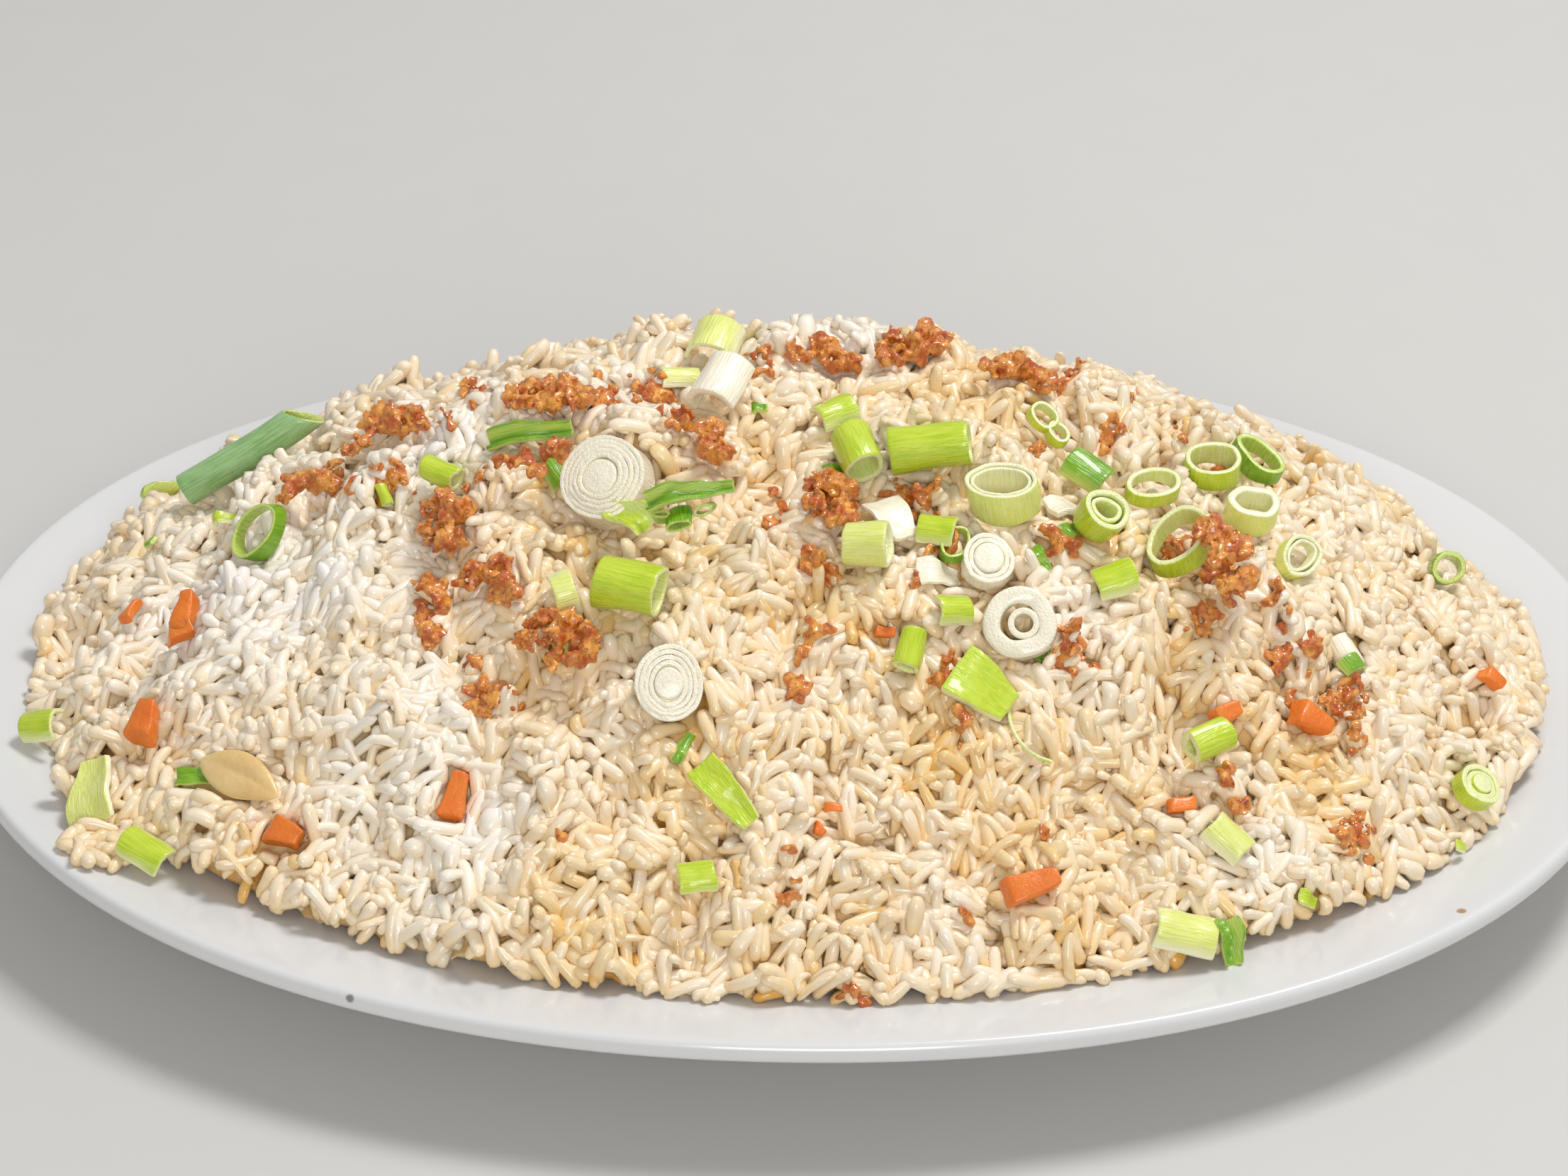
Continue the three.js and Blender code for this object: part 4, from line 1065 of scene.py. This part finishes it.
def cored_ring(across, wall, length, seed):
    """A thick white ring with the next layer loose inside it."""
    hole = across / 2 - wall
    core = tube(1.7 * hole, 0.95 * length, wall=0.35 * hole, seed=seed + 1, rough=0.1)
    core.data.transform(Matrix.Translation((0.25 * hole, 0, 0)))
    return joined([tube(across, length, wall=wall, seed=seed), core])


def curly_leaf(length, width, seed):
    """A torn leaf with two folded loops under it."""
    strip = leaf(length, 0.55 * width, wave=1.1, thickness=0.7, taper=0.7, curl=1.0, ragged=0.6, seed=seed)
    strip.data.transform(Matrix.Translation((0.05 * length, 0.25 * width, 1.2)))
    loops = []
    for k, (x, y, across) in enumerate(((-0.12, -0.22, 5.4), (0.16, -0.12, 4.2), (-0.3, 0.0, 3.6))):
        loop = tube(across, 5.0 - k, deep=0.6 * across, wall=0.55, seed=seed + k)
        loop.data.transform(Matrix.Rotation(math.radians(75 - 30 * k), 4, "X"))
        loop.data.transform(Matrix.Translation((x * length, y * width, 0)))
        loops.append(loop)
    return joined([strip, *loops])


ONION_SHAPES = {
    "tube": tube,
    "lying": lambda **size: lying(tube(**size)),
    "half": half_tube,
    "leaf": leaf,
    "slice": bulb_slice,
    "pair": ring_pair,
    "cored": cored_ring,
    "curly": curly_leaf,
}


def make_onions():
    pieces = []
    for seed, (node, slot, shape, heading, axis, size) in enumerate(ONIONS):
        piece = ONION_SHAPES[shape](seed=seed + 1, **size)
        set_in_node(piece, node, heading, axis)
        material = MATERIALS["onion_waxy" if node == "onion_tube_long" else slot]
        pieces.append(finish_piece(piece, node + "_cut", material, [node]))
    return pieces


# name, slot, shape, point of the picture, heading, lift, sizes
SCRAPS = [
    ("leaf_scrap_far_left", "onion_dark_green", "leaf", (235, 705), 20, 1.2, dict(length=7.5, width=5.5, curl=1.4)),
    ("leaf_scrap_under_tube", "onion_green", "leaf", (318, 735), 10, 0.8, dict(length=5, width=3)),
    ("tiny_tube_left", "onion_green", "lying", (545, 700), -80, 1.0, dict(across=3, length=4.5, wall=0.5)),
    ("leaf_by_slice", "onion_dark_green", "half", (783, 668), -60, 1.6, dict(radius=2.6, arc=140, length=7, wall=0.6)),
    ("pale_half_tube_back", "onion_pale", "half", (960, 530), 10, 1.6, dict(radius=3, arc=160, length=8, wall=0.7)),
    ("half_ring_top", "onion_green", "half", (1088, 487), 0, 1.8, dict(radius=2.4, arc=120, length=9.5, wall=0.7)),
    ("leaf_bit_top", "onion_dark_green", "leaf", (1072, 577), 0, 0.8, dict(length=3, width=2, wave=0.4)),
    ("leaf_bit_tube_top", "onion_dark_green", "leaf", (1180, 672), 20, 1.2, dict(length=6, width=3)),
    ("dark_curl_middle", "onion_dark_green", "tube", (1345, 775), 60, 1.5, dict(across=8, deep=6, length=2.6, wall=0.7)),
    ("clear_layer_middle", "onion_white", "leaf", (1322, 812), 10, 0.8, dict(length=9, width=6, thickness=0.7)),
    ("leaf_by_white_ring", "onion_dark_green", "leaf", (1462, 912), -60, 0.8, dict(length=6, width=3.4)),
    ("white_piece_right", "onion_white", "leaf", (1505, 722), 30, 0.9, dict(length=10, width=6, thickness=1.4)),
    ("leaf_by_thick_ring", "onion_dark_green", "leaf", (1508, 752), 40, 0.7, dict(length=5, width=3.5)),
    ("leaf_bit_middle", "onion_dark_green", "leaf", (1402, 784), 0, 0.9, dict(length=3, width=2.4, wave=0.4)),
    ("leaf_bit_right", "onion_dark_green", "leaf", (1465, 792), -50, 0.9, dict(length=5.5, width=3)),
    ("leaf_under_slice", "onion_pale", "half", (800, 905), 20, 0.2, dict(radius=4, arc=120, length=6, wall=0.7)),
    ("white_tube_right", "onion_white", "half", (1902, 918), -50, 1.4, dict(radius=2.8, arc=200, length=7, wall=0.8)),
    ("green_end_right", "onion_dark_green", "half", (1908, 938), -50, 1.6, dict(radius=3, arc=150, length=3.4, wall=0.8)),
    ("sprig_left", "onion_dark_green", "leaf", (962, 1056), 75, 0.8, dict(length=7, width=1.6, wave=0.5)),
    ("leaf_flat_left", "onion_dark_green", "leaf", (278, 1098), -6, 0.9, dict(length=8, width=3.6, wave=0.6)),
    ("leaf_right_edge", "onion_dark_green", "leaf", (1727, 1333), -65, 1.2, dict(length=8.5, width=5, curl=1.2)),
    ("scrap_right_front", "onion_green", "leaf", (1843, 1268), -20, 0.8, dict(length=4, width=3, wave=0.4)),
    ("scrap_far_right", "onion_green", "leaf", (2060, 1194), 0, 0.5, dict(length=3, width=2, wave=0.3)),
    ("scrap_far_left", "onion_dark_green", "leaf", (213, 766), 70, 0.6, dict(length=2.4, width=1.8, wave=0.3)),
    ("leaf_by_edge_half", "onion_green", "leaf", (1722, 1170), 20, 0.8, dict(length=4, width=3, wave=0.4)),
]


def make_scraps():
    pieces = []
    for seed, (name, slot, shape, at, heading, lift, size) in enumerate(SCRAPS):
        piece = ONION_SHAPES[shape](seed=60 + seed, **size)
        set_on_heap(piece, *at, heading, lift)
        pieces.append(finish_piece(piece, name, MATERIALS[slot]))
    pieces.append(make_strand())
    return pieces


STRAND = [(1422, 1000), (1424, 1022), (1432, 1042), (1446, 1060), (1466, 1072), (1482, 1077)]


def make_strand():
    """A thin curved strand of green that lies on the front."""
    path = bpy.data.curves.new("strand", "CURVE")
    path.dimensions = "3D"
    path.bevel_depth = 0.45
    path.bevel_resolution = 2
    path.use_fill_caps = True
    line = path.splines.new("POLY")
    line.points.add(len(STRAND) - 1)
    for point, at in zip(line.points, STRAND):
        place = spot(*at)
        point.co = (*(place + 0.9 * slope_at(place.x, place.y)), 1)
    piece = bpy.data.objects.new("strand", path)
    bpy.context.collection.objects.link(piece)
    select_only(piece)
    bpy.ops.object.convert(target="MESH")
    apply_modifier(piece, "SUBSURF", levels=1, render_levels=1)
    remember_own(piece)
    smooth(piece)
    return finish_piece(piece, "green_strand", MATERIALS["onion_green"])


GARLIC_NODES = [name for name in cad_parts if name.startswith("garlic_") and name != "garlic_clove_slice"]

# point of the picture, and the width and height that a small crust shows there
GARLIC_PATCHES = [
    (668, 550, 35, 55), (630, 620, 30, 24), (465, 665, 55, 50), (497, 708, 34, 30), (550, 680, 77, 38),
    (670, 682, 40, 22), (610, 865, 50, 100), (850, 552, 50, 40), (925, 545, 80, 63), (1070, 522, 60, 33),
    (1085, 735, 18, 18), (1105, 718, 16, 18), (1090, 690, 22, 26), (1155, 815, 60, 65), (1290, 700, 100, 63),
    (1325, 778, 55, 35), (1505, 540, 65, 30), (1597, 568, 28, 40), (1565, 617, 40, 52), (1468, 640, 34, 40),
    (1425, 678, 34, 36), (1665, 642, 20, 26), (1495, 772, 85, 50), (1800, 850, 32, 28), (1805, 915, 40, 60),
    (1845, 925, 36, 50), (1823, 977, 24, 26), (1900, 985, 67, 59), (1912, 1026, 22, 30), (1912, 1063, 34, 40),
    (1730, 1090, 34, 40), (1750, 1126, 34, 34), (1905, 1187, 73, 58), (1155, 905, 60, 37), (1132, 940, 18, 40),
    (1120, 982, 46, 45), (1505, 930, 47, 82), (1342, 932, 30, 50), (1330, 970, 53, 30), (1400, 990, 47, 50),
    (1355, 1030, 26, 44), (695, 992, 85, 60), (665, 932, 24, 24), (1108, 1284, 44, 36), (1113, 1222, 20, 14),
    (1472, 1168, 22, 16), (932, 582, 12, 14), (315, 800, 16, 16), (1545, 952, 18, 12), (1660, 775, 62, 56),
    (1712, 687, 52, 28), (1022, 1112, 26, 18), (790, 1190, 12, 14), (1205, 1407, 50, 33), (1369, 1288, 20, 16),
    (1720, 800, 50, 60), (1665, 760, 20, 20), (1290, 815, 24, 20), (600, 905, 40, 50), (1700, 880, 60, 40),
]


def make_garlic():
    pieces = []
    for k, node in enumerate(sorted(GARLIC_NODES)):
        piece = garlic_crust(node, 300 + k)
        pieces.append(finish_piece(piece, node + "_crust", MATERIALS["garlic_fried"], [node]))
    return pieces


def make_small_garlic(top):
    places = []
    for k, patch in enumerate(GARLIC_PATCHES):
        places += garlic_patch(*patch, top, 500 + k)
    piece = crumb_cloud("garlic_small_crusts", places, 0.8, 1.9, 77, 0.4)
    return finish_piece(piece, "garlic_small_crusts", MATERIALS["garlic_fried"])


# point of the picture, heading, length, width, height
CARROTS = [
    (262, 866, 70, 8, 3.6, 3), (256, 890, 10, 5.5, 4, 3), (186, 862, 60, 5.5, 2.6, 2), (205, 1020, 65, 7.5, 5, 4),
    (403, 1177, -30, 7.5, 4.5, 4), (643, 1122, 75, 9, 4, 3), (1730, 1008, 40, 5.5, 3.6, 3),
    (1848, 1016, -20, 7, 4.5, 4), (2103, 960, -20, 5, 3, 3), (1455, 1250, 25, 10, 4.5, 3.4),
    (1249, 892, 0, 3.6, 2.4, 2), (1175, 1140, 0, 3, 1.8, 1.6), (1667, 1137, 10, 5, 3, 2.4), (1155, 1170, -30, 2.4, 2, 2),
]


def make_carrots():
    cuts = []
    for seed, (px, py, heading, *size) in enumerate(CARROTS):
        piece = carrot_piece(*size, 20 + seed)
        set_on_heap(piece, px, py, heading, 0.3)
        cuts.append(piece)
    return finish_piece(joined(cuts), "carrot_cuts", MATERIALS["carrot"])


def make_clove():
    piece = clove_piece(19.5, 9.5, 3.2)
    set_in_node(piece, "garlic_clove_slice", -35)
    return finish_piece(piece, "garlic_clove_slice_cut", MATERIALS["garlic_clove"],
                        ["garlic_clove_slice"])


# ---- The rice ----

GRAIN_SEGMENTS = 7
GRAIN_RINGS = 7


def grain_shape(bend=0.0, blunt=2.6, taper=0.0, dent=0.0, flat=0.0, rough=0.035, seed=0):
    """One grain along X, 2 long and 2 across before it is sized, as corners and triangles."""
    bpy.ops.mesh.primitive_uv_sphere_add(segments=GRAIN_SEGMENTS, ring_count=GRAIN_RINGS, radius=1)
    ball = bpy.context.object
    edit(ball)
    bpy.ops.mesh.quads_convert_to_tris()
    done()
    ball.data.transform(Matrix.Rotation(math.pi / 2, 4, "Y"))
    points = np.array([vertex.co[:] for vertex in ball.data.vertices])
    faces = np.array([face.vertices[:] for face in ball.data.polygons])
    bpy.data.objects.remove(ball)
    along = np.sign(points[:, 0]) * (1 - (1 - np.abs(points[:, 0])) ** 1.25)
    round_now = np.maximum(np.hypot(points[:, 1], points[:, 2]), 1e-6)
    girth = (1 - np.abs(along) ** blunt) ** (1 / 2.2) * (1 + taper * along)
    girth *= 1 - dent * np.exp(-((along - 0.1) / 0.25) ** 2)
    shares = points[:, 1:] / round_now[:, None] * np.where(np.abs(along) > 0.999, 0, girth)[:, None]
    draw = np.random.default_rng(seed)
    shares += draw.normal(scale=rough, size=shares.shape)
    shares[:, 1] *= 1 - flat
    shares[:, 1] -= bend * (along ** 2 - 0.4)
    return np.column_stack([along, shares]), faces


GRAIN_SHAPES = [
    grain_shape(0.2, 8.0, 0.05, 0.0, 0.12, 0.03, 1),
    grain_shape(0.5, 7.0, 0.12, 0.04, 0.18, 0.04, 2),
    grain_shape(1.1, 8.0, -0.1, 0.05, 0.15, 0.05, 3),
    grain_shape(0.3, 10.0, 0.1, 0.08, 0.25, 0.05, 4),
    grain_shape(0.4, 5.0, 0.22, 0.0, 0.15, 0.05, 5),
    grain_shape(0.15, 9.0, -0.06, 0.12, 0.3, 0.06, 6),
    grain_shape(0.8, 8.0, 0.18, 0.05, 0.3, 0.07, 7),
    grain_shape(0.3, 10.0, -0.15, 0.12, 0.2, 0.12, 8),
    grain_shape(0.5, 9.0, 0.1, 0.15, 0.1, 0.15, 9),
]
BURST_FROM = 7  # the shapes from here on are burst grains: shorter, fuller and lumpy


def blocked_fields(pieces):
    """Lowest and highest height of the toppings over each cell; far apart the wrong way where there is none."""
    low = np.full(SHAPE, 1000.0)
    high = np.full(SHAPE, NOWHERE)
    for piece in pieces:
        tree = tree_of(piece)
        points = np.array([vertex.co[:] for vertex in piece.data.vertices]) / MM
        (x0, y0, _), (x1, y1, _) = points.min(axis=0), points.max(axis=0)
        for i in range(row(y0), row(y1) + 1):
            for j in range(column(x0), column(x1) + 1):
                x, y = FIELD_X[j], FIELD_Y[i]
                top = tree.ray_cast(Vector((x, y, 200)), DOWN)[0]
                if top is None:
                    continue
                under = tree.ray_cast(Vector((x, y, -10)), -DOWN)[0]
                low[i, j] = min(low[i, j], under.z)
                high[i, j] = max(high[i, j], top.z)
    return low, high


CREVICE_SIZE = 17
CREVICE_WIDTH = 0.2
CREVICE_DEPTH = 8.5
CLUMP_RISE = 3.6
LUMP_RISE = 1.2


def crevices():
    """How far the rice lies under the heap's even surface: clumps, lumps and the narrow gaps between them."""
    veins = np.exp(-(smooth_noise(CREVICE_SIZE, 3) / CREVICE_WIDTH) ** 2)
    where = np.clip(0.42 + 1.1 * smooth_noise(37, 4), 0, 1)
    rise = CLUMP_RISE * smooth_noise(13, 21) + LUMP_RISE * smooth_noise(7, 22) - 0.8
    return CREVICE_DEPTH * veins * where - rise


STAND_SHARE = 0.1  # share of the grains that stand up out of the heap
SINK = (0.2, 0.6)  # how far a grain settles into those below it
PRESSED = (-1.3, 0.3)  # the most that a grain's middle stands above the heap's surface
OVERHANG = 0.25  # the most of a grain that lies past the heap's edge
FILL_TO = 1.2  # grains are dropped until the pile comes this near to the surface
AXIS_SAMPLES = np.linspace(-0.46, 0.46, 9)
STAMP_ALONG, STAMP_ACROSS = np.meshgrid(np.linspace(-0.5, 0.5, 21), np.linspace(-0.5, 0.5, 8))


def settled(field, x, y, turn, length, width):
    """Height of a lying grain's middle and its tilt, from the two points that carry it."""
    cos, sin = math.cos(turn), math.sin(turn)
    along = AXIS_SAMPLES * length
    sides = np.array([-0.25, 0, 0.25])[:, None] * width
    xs = x + along * cos - sides * sin
    ys = y + along * sin + sides * cos
    heights = field[row(ys), column(xs)].max(axis=0)
    radius = 0.5 * width * np.sqrt(1 - (1.96 * AXIS_SAMPLES) ** 2 * 0.8)
    rest = heights + radius
    left, right = rest[:5], rest[4:]
    sl, sr = along[:5, None], along[None, 4:]
    gap = np.maximum(sr - sl, 1e-6)
    middle = np.where(sr - sl > 1e-6, (left[:, None] * sr - right[None, :] * sl) / gap, rest[4])
    best = np.unravel_index(np.argmax(middle), middle.shape)
    if sr[0, best[1]] - sl[best[0], 0] < 1e-6:
        return rest[4], 0.0
    tilt = math.atan2(right[best[1]] - left[best[0]], sr[0, best[1]] - sl[best[0], 0])
    return middle[best], tilt


def stamp(x, y, z, turn, tilt, length, width):
    """Cells that a grain covers, and its lower and upper height over them."""
    flat = math.cos(tilt)
    along = STAMP_ALONG.ravel() * length
    across = STAMP_ACROSS.ravel() * width
    radius2 = (0.5 * width) ** 2 * np.maximum(0, 1 - (2 * STAMP_ALONG.ravel()) ** 4) - across ** 2
    inside = radius2 > 0
    along, across, rise = along[inside], across[inside], np.sqrt(radius2[inside])
    xs = x + along * flat * math.cos(turn) - across * math.sin(turn)
    ys = y + along * flat * math.sin(turn) + across * math.cos(turn)
    middle = z + along * math.sin(tilt)
    reach = np.minimum(rise / max(flat, 0.35), 2.5)
    return row(ys), column(xs), middle - reach, middle + reach


def lay_grains(surface, base, floor, blocked, tries, seed):
    """Drops grains one by one; returns their places, turns, tilts, sizes and how deep each lies."""
    draw = np.random.default_rng(seed)
    field = base.copy()
    low, high = blocked
    inside = surface > NOWHERE
    rows, columns = np.nonzero(inside)
    picks = draw.integers(0, len(rows), tries)
    shift = draw.uniform(-0.5, 0.5, (tries, 2)) * FIELD_STEP
    turns = 2 * math.pi * smooth_noise(11, seed + 40)[rows[picks], columns[picks]] + draw.normal(0, 0.65, tries)
    broken = draw.random(tries) < 0.14
    lengths = GRAIN_LENGTH * np.where(broken, draw.uniform(0.4, 0.75, tries), draw.normal(1.0, 0.1, tries))
    widths = GRAIN_WIDTH * np.clip(draw.normal(1.0, 0.1, tries), 0.75, 1.3)
    stands = draw.random(tries) < STAND_SHARE
    lifts = draw.uniform(0.3, 1.0, tries) * np.where(draw.random(tries) < 0.5, -1, 1)
    sinks = draw.uniform(*SINK, tries)
    pressed = draw.uniform(*PRESSED, tries)
    grains = []
    for k in range(tries):
        i, j = rows[picks[k]], columns[picks[k]]
        if field[i, j] > surface[i, j] - FILL_TO:
            continue
        x, y = FIELD_X[j] + shift[k, 0], FIELD_Y[i] + shift[k, 1]
        z, tilt = settled(field, x, y, turns[k], lengths[k], widths[k])
        z = min(z - sinks[k], surface[i, j] + pressed[k])
        if stands[k]:
            tilt = max(-1.35, min(1.35, tilt + lifts[k]))
            z += 0.2 * lengths[k] * abs(math.sin(tilt))
        if abs(tilt) > 1.4:
            continue
        cells = stamp(x, y, z, turns[k], tilt, lengths[k], widths[k])
        at = cells[0], cells[1]
        if (surface[at] == NOWHERE).mean() > OVERHANG:
            continue
        lift = max(0.0, (floor[at] - cells[2]).max())
        z, under, over = z + lift, cells[2] + lift, cells[3] + lift
        if lift > 2.5 or ((over > low[at] - 0.05) & (under < high[at] + 0.05)).any():
            continue
        np.maximum.at(field, at, over)
        grains.append((x, y, z, turns[k], tilt, lengths[k], widths[k], surface[i, j] - z))
    return np.array(grains), field


# the browner end of these tints is reached by soy-soaked grains and, as painted shade, by grains that lie deep
RICE_TINTS = [(0.0, "f5f0ea"), (0.2, "f9efde"), (0.42, "f7e4c5"), (0.6, "f2d49c"), (0.78, "edba5e"),
              (0.92, "d28a2a"), (1.0, "9c5a14")]
WHITE_PLACES = [(-100, -30, 26), (-112, -14, 22), (-76, -56, 22), (-70, 0, 16), (-36, 10, 14), (-60, -78, 14),
                (52, -40, 9), (8, 26, 12), (88, -72, 12)]
GOLDEN_PLACES = [(-84, -48, 15), (-72, -58, 10), (-60, -50, 9), (-24, -72, 9), (-50, -56, 12), (6, -40, 8),
                 (24, -62, 10), (-46, -88, 10), (44, -88, 9), (-92, -76, 8), (70, -46, 7), (100, -60, 10)]


def nearness(x, y, places):
    """How near a place is to the nearest of some round areas, from 0 to 1."""
    near = np.zeros(len(x))
    for px, py, radius in places:
        near = np.maximum(near, np.exp(-((x - px) ** 2 + (y - py) ** 2) / radius ** 2))
    return near


def warmth_of(x, y, depth, seed):
    """How brown the rice is at some places, from 0, bluish white, to 1, soaked with soy; grains that lie deeper under
    the heap's surface are made browner as painted shade in its hollows.
    """
    draw = np.random.default_rng(seed)
    at = row(y), column(x)
    warm = 0.44 + 0.07 * smooth_noise(34, 11)[at] + 0.08 * smooth_noise(12, 12)[at]
    warm += 0.04 * draw.standard_normal(len(x))
    warm -= 0.3 * nearness(x, y, WHITE_PLACES)
    warm += 0.13 * nearness(x, y, GOLDEN_PLACES)
    # painted shade: grains that lie deep under the heap's surface are made browner
    warm += 0.05 * np.clip(depth - 0.7, 0, 1) + 0.17 * np.clip(depth - 1.8, 0, 1.4)
    warm += 0.16 * (draw.random(len(x)) < 0.04)
    return np.clip(warm, 0, 1)


def tints_of(warmth):
    stops = [stop for stop, _ in RICE_TINTS]
    colours = np.array([paint(code) for _, code in RICE_TINTS])
    return np.column_stack([np.interp(warmth, stops, colours[:, k]) for k in range(4)])


def grain_turns(grains, seed):
    """Rotation matrices: along the grain, across it, and a random roll about it."""
    draw = np.random.default_rng(seed)
    turn, tilt = grains[:, 3], grains[:, 4]
    along = np.column_stack([np.cos(turn) * np.cos(tilt), np.sin(turn) * np.cos(tilt), np.sin(tilt)])
    across = np.column_stack([-np.sin(turn), np.cos(turn), np.zeros(len(turn))])
    up = np.cross(along, across)
    roll = draw.normal(0, 0.9, len(turn))
    side = across * np.cos(roll)[:, None] + up * np.sin(roll)[:, None]
    top = up * np.cos(roll)[:, None] - across * np.sin(roll)[:, None]
    return np.stack([along, side, top], axis=2)


KIND_SHARES = (0.18, 0.18, 0.1, 0.14, 0.14, 0.1, 0.08, 0.04, 0.04)
# painted shade: the colour that a grain's tint is multiplied by at its underside
GRAIN_UNDERSIDE_SHADE = (1.0, 0.9, 0.7)
# the browner pieces hold soy-soaked grains and grains browned as painted shade because they lie deep
RICE_PIECES = ["rice_blue_white", "rice_milky", "rice_ivory", "rice_buttery", "rice_golden", "rice_soaked_and_shaded"]
# painted shade: the bed under the loose grains is tinted darker and warmer than they are
BED_SHADE_TINT = (1.0, 0.95, 0.84)
BED_UNDER = 3.0  # how far the sticky bed lies under the loose grains' tops
SLID_CLUMP_AT = (150, 1200)  # the point of the picture where a clump has slid on to the rim
SLID_CLUMP_RADIUS = 8
EDGE_INSET = 13  # where the bed's upper side starts to rise, inside the plate's outline
EDGE_WIDTH = 15
EDGE_FALL = 9
BED_COVER = 2.3  # the least that the loose grains stand above the bed
BED_SHARE = 0.965  # the bed's outline, as a share of the heap's
BED_SUNK = 1.6  # how far a bed that is left out lies inside the plate
THIN_BED = 1.0  # a bed thinner than this is left out: the plate shows between the grains


def rice_fields(blocked):
    """The heap's surface with its clumps and hollows, the lowest level of its grains, and the plate's floor."""
    surface = surface_field(HEAP_TREE)
    floor = np.maximum(surface_field(PLATE_TREE), 0)
    slid = spot(*SLID_CLUMP_AT)
    away = np.hypot(FIELD_X[None, :] - slid.x, FIELD_Y[:, None] - slid.y) / SLID_CLUMP_RADIUS
    surface = np.where(away < 1, np.maximum(surface, floor + 1.5 + 4 * (1 - away ** 2)), surface)
    shaped = np.minimum(surface - crevices(), blocked[0] - 0.3)
    inside = surface > NOWHERE
    target = np.where(inside, np.maximum(shaped, floor + 2.2), NOWHERE)
    edge = np.minimum(plate_inset() - EDGE_INSET, target - floor)
    fall = EDGE_FALL * np.clip(1 - edge / EDGE_WIDTH, 0, 1)
    base = np.where(inside, shaped - RICE_DEPTH, NOWHERE)
    return target, np.maximum(base - fall, floor + 0.3), floor, fall


def softened(field):
    """A field with each cell averaged over its neighbours."""
    shifts = [(di, dj) for di in (-1, 0, 1) for dj in (-1, 0, 1)]
    return sum(np.roll(field, shift, axis=(0, 1)) for shift in shifts) / len(shifts)


def make_rice(pieces):
    """A sticky bed of packed grains with loose grains half sunk in it, from the whitest to the brownest."""
    blocked = blocked_fields(pieces)
    target, base, floor, fall = rice_fields(blocked)
    packed = lay_grains(target - BED_UNDER - fall, base, floor, blocked, 60000, 4)[1]
    bed = np.maximum(np.minimum(softened(packed), target - BED_COVER), floor + 0.3)
    make_bed(np.where(bed < floor + THIN_BED, floor - BED_SUNK, bed), target)
    grains, top = lay_grains(target, bed, floor, blocked, 130000, 5)
    warmth = warmth_of(grains[:, 0], grains[:, 1], grains[:, 7], 6)
    tints = tints_of(warmth)
    tints[:, :3] *= np.random.default_rng(9).uniform(0.96, 1.02, (len(grains), 1))
    turns = grain_turns(grains, 7)
    draw = np.random.default_rng(8)
    kinds = draw.choice(len(GRAIN_SHAPES), len(grains), p=KIND_SHARES)
    burst = kinds >= BURST_FROM
    grains[burst, 5] *= 0.72
    grains[burst, 6] *= 1.4
    sizes = grains[:, [5, 6, 6]] / 2 * draw.uniform(0.92, 1.08, (len(grains), 3))
    for name, group in zip(RICE_PIECES, np.array_split(np.argsort(warmth), len(RICE_PIECES))):
        piece = scattered(name, GRAIN_SHAPES, kinds[group], grains[group, :3], turns[group], sizes[group],
                          tints[group], GRAIN_UNDERSIDE_SHADE)
        finish_piece(piece, name, MATERIALS["rice"])
    print("grains", len(grains))
    return top


def make_bed(bed, target):
    """The heap's own form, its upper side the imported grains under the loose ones."""
    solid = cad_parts["rice_heap"]
    piece = bpy.data.objects.new("rice_heap_bed", solid.data.copy())
    bpy.context.collection.objects.link(piece)
    piece.data.transform(Matrix.Scale(1 / MM, 4))
    edit(piece)
    bpy.ops.mesh.remove_doubles(threshold=1e-3)
    bpy.ops.mesh.subdivide(number_cuts=3)
    done()
    places = np.array([vertex.co[:] for vertex in piece.data.vertices])
    places[:, :2] *= BED_SHARE
    at = row(places[:, 1]), column(places[:, 0])
    places[:, 2] = np.minimum(places[:, 2], bed[at])
    piece.data.vertices.foreach_set("co", places.ravel())
    # painted shade: the bed is browner where it lies deeper under the heap's surface, and darkened by its shade tint
    warmth = warmth_of(places[:, 0], places[:, 1], target[at] - places[:, 2], 10)
    colours = tints_of(warmth) * (*BED_SHADE_TINT, 1)
    piece.data.attributes.new("tint", "FLOAT_COLOR", "POINT").data.foreach_set("color", colours.ravel())
    piece.data.shade_smooth()
    print("bed", len(piece.data.polygons))
    finish_piece(piece, "rice_heap_bed", MATERIALS["rice"], ["rice_heap"])


# ---- Making the dish ----

make_camera()
make_studio()
plate = finish_piece(plate_piece(), "plate_glazed", MATERIALS["plate_glaze"], ["plate"])
toppings = make_onions() + make_scraps() + make_garlic() + [make_carrots(), make_clove()]
rice_top = make_rice(toppings)
make_small_garlic(rice_top)
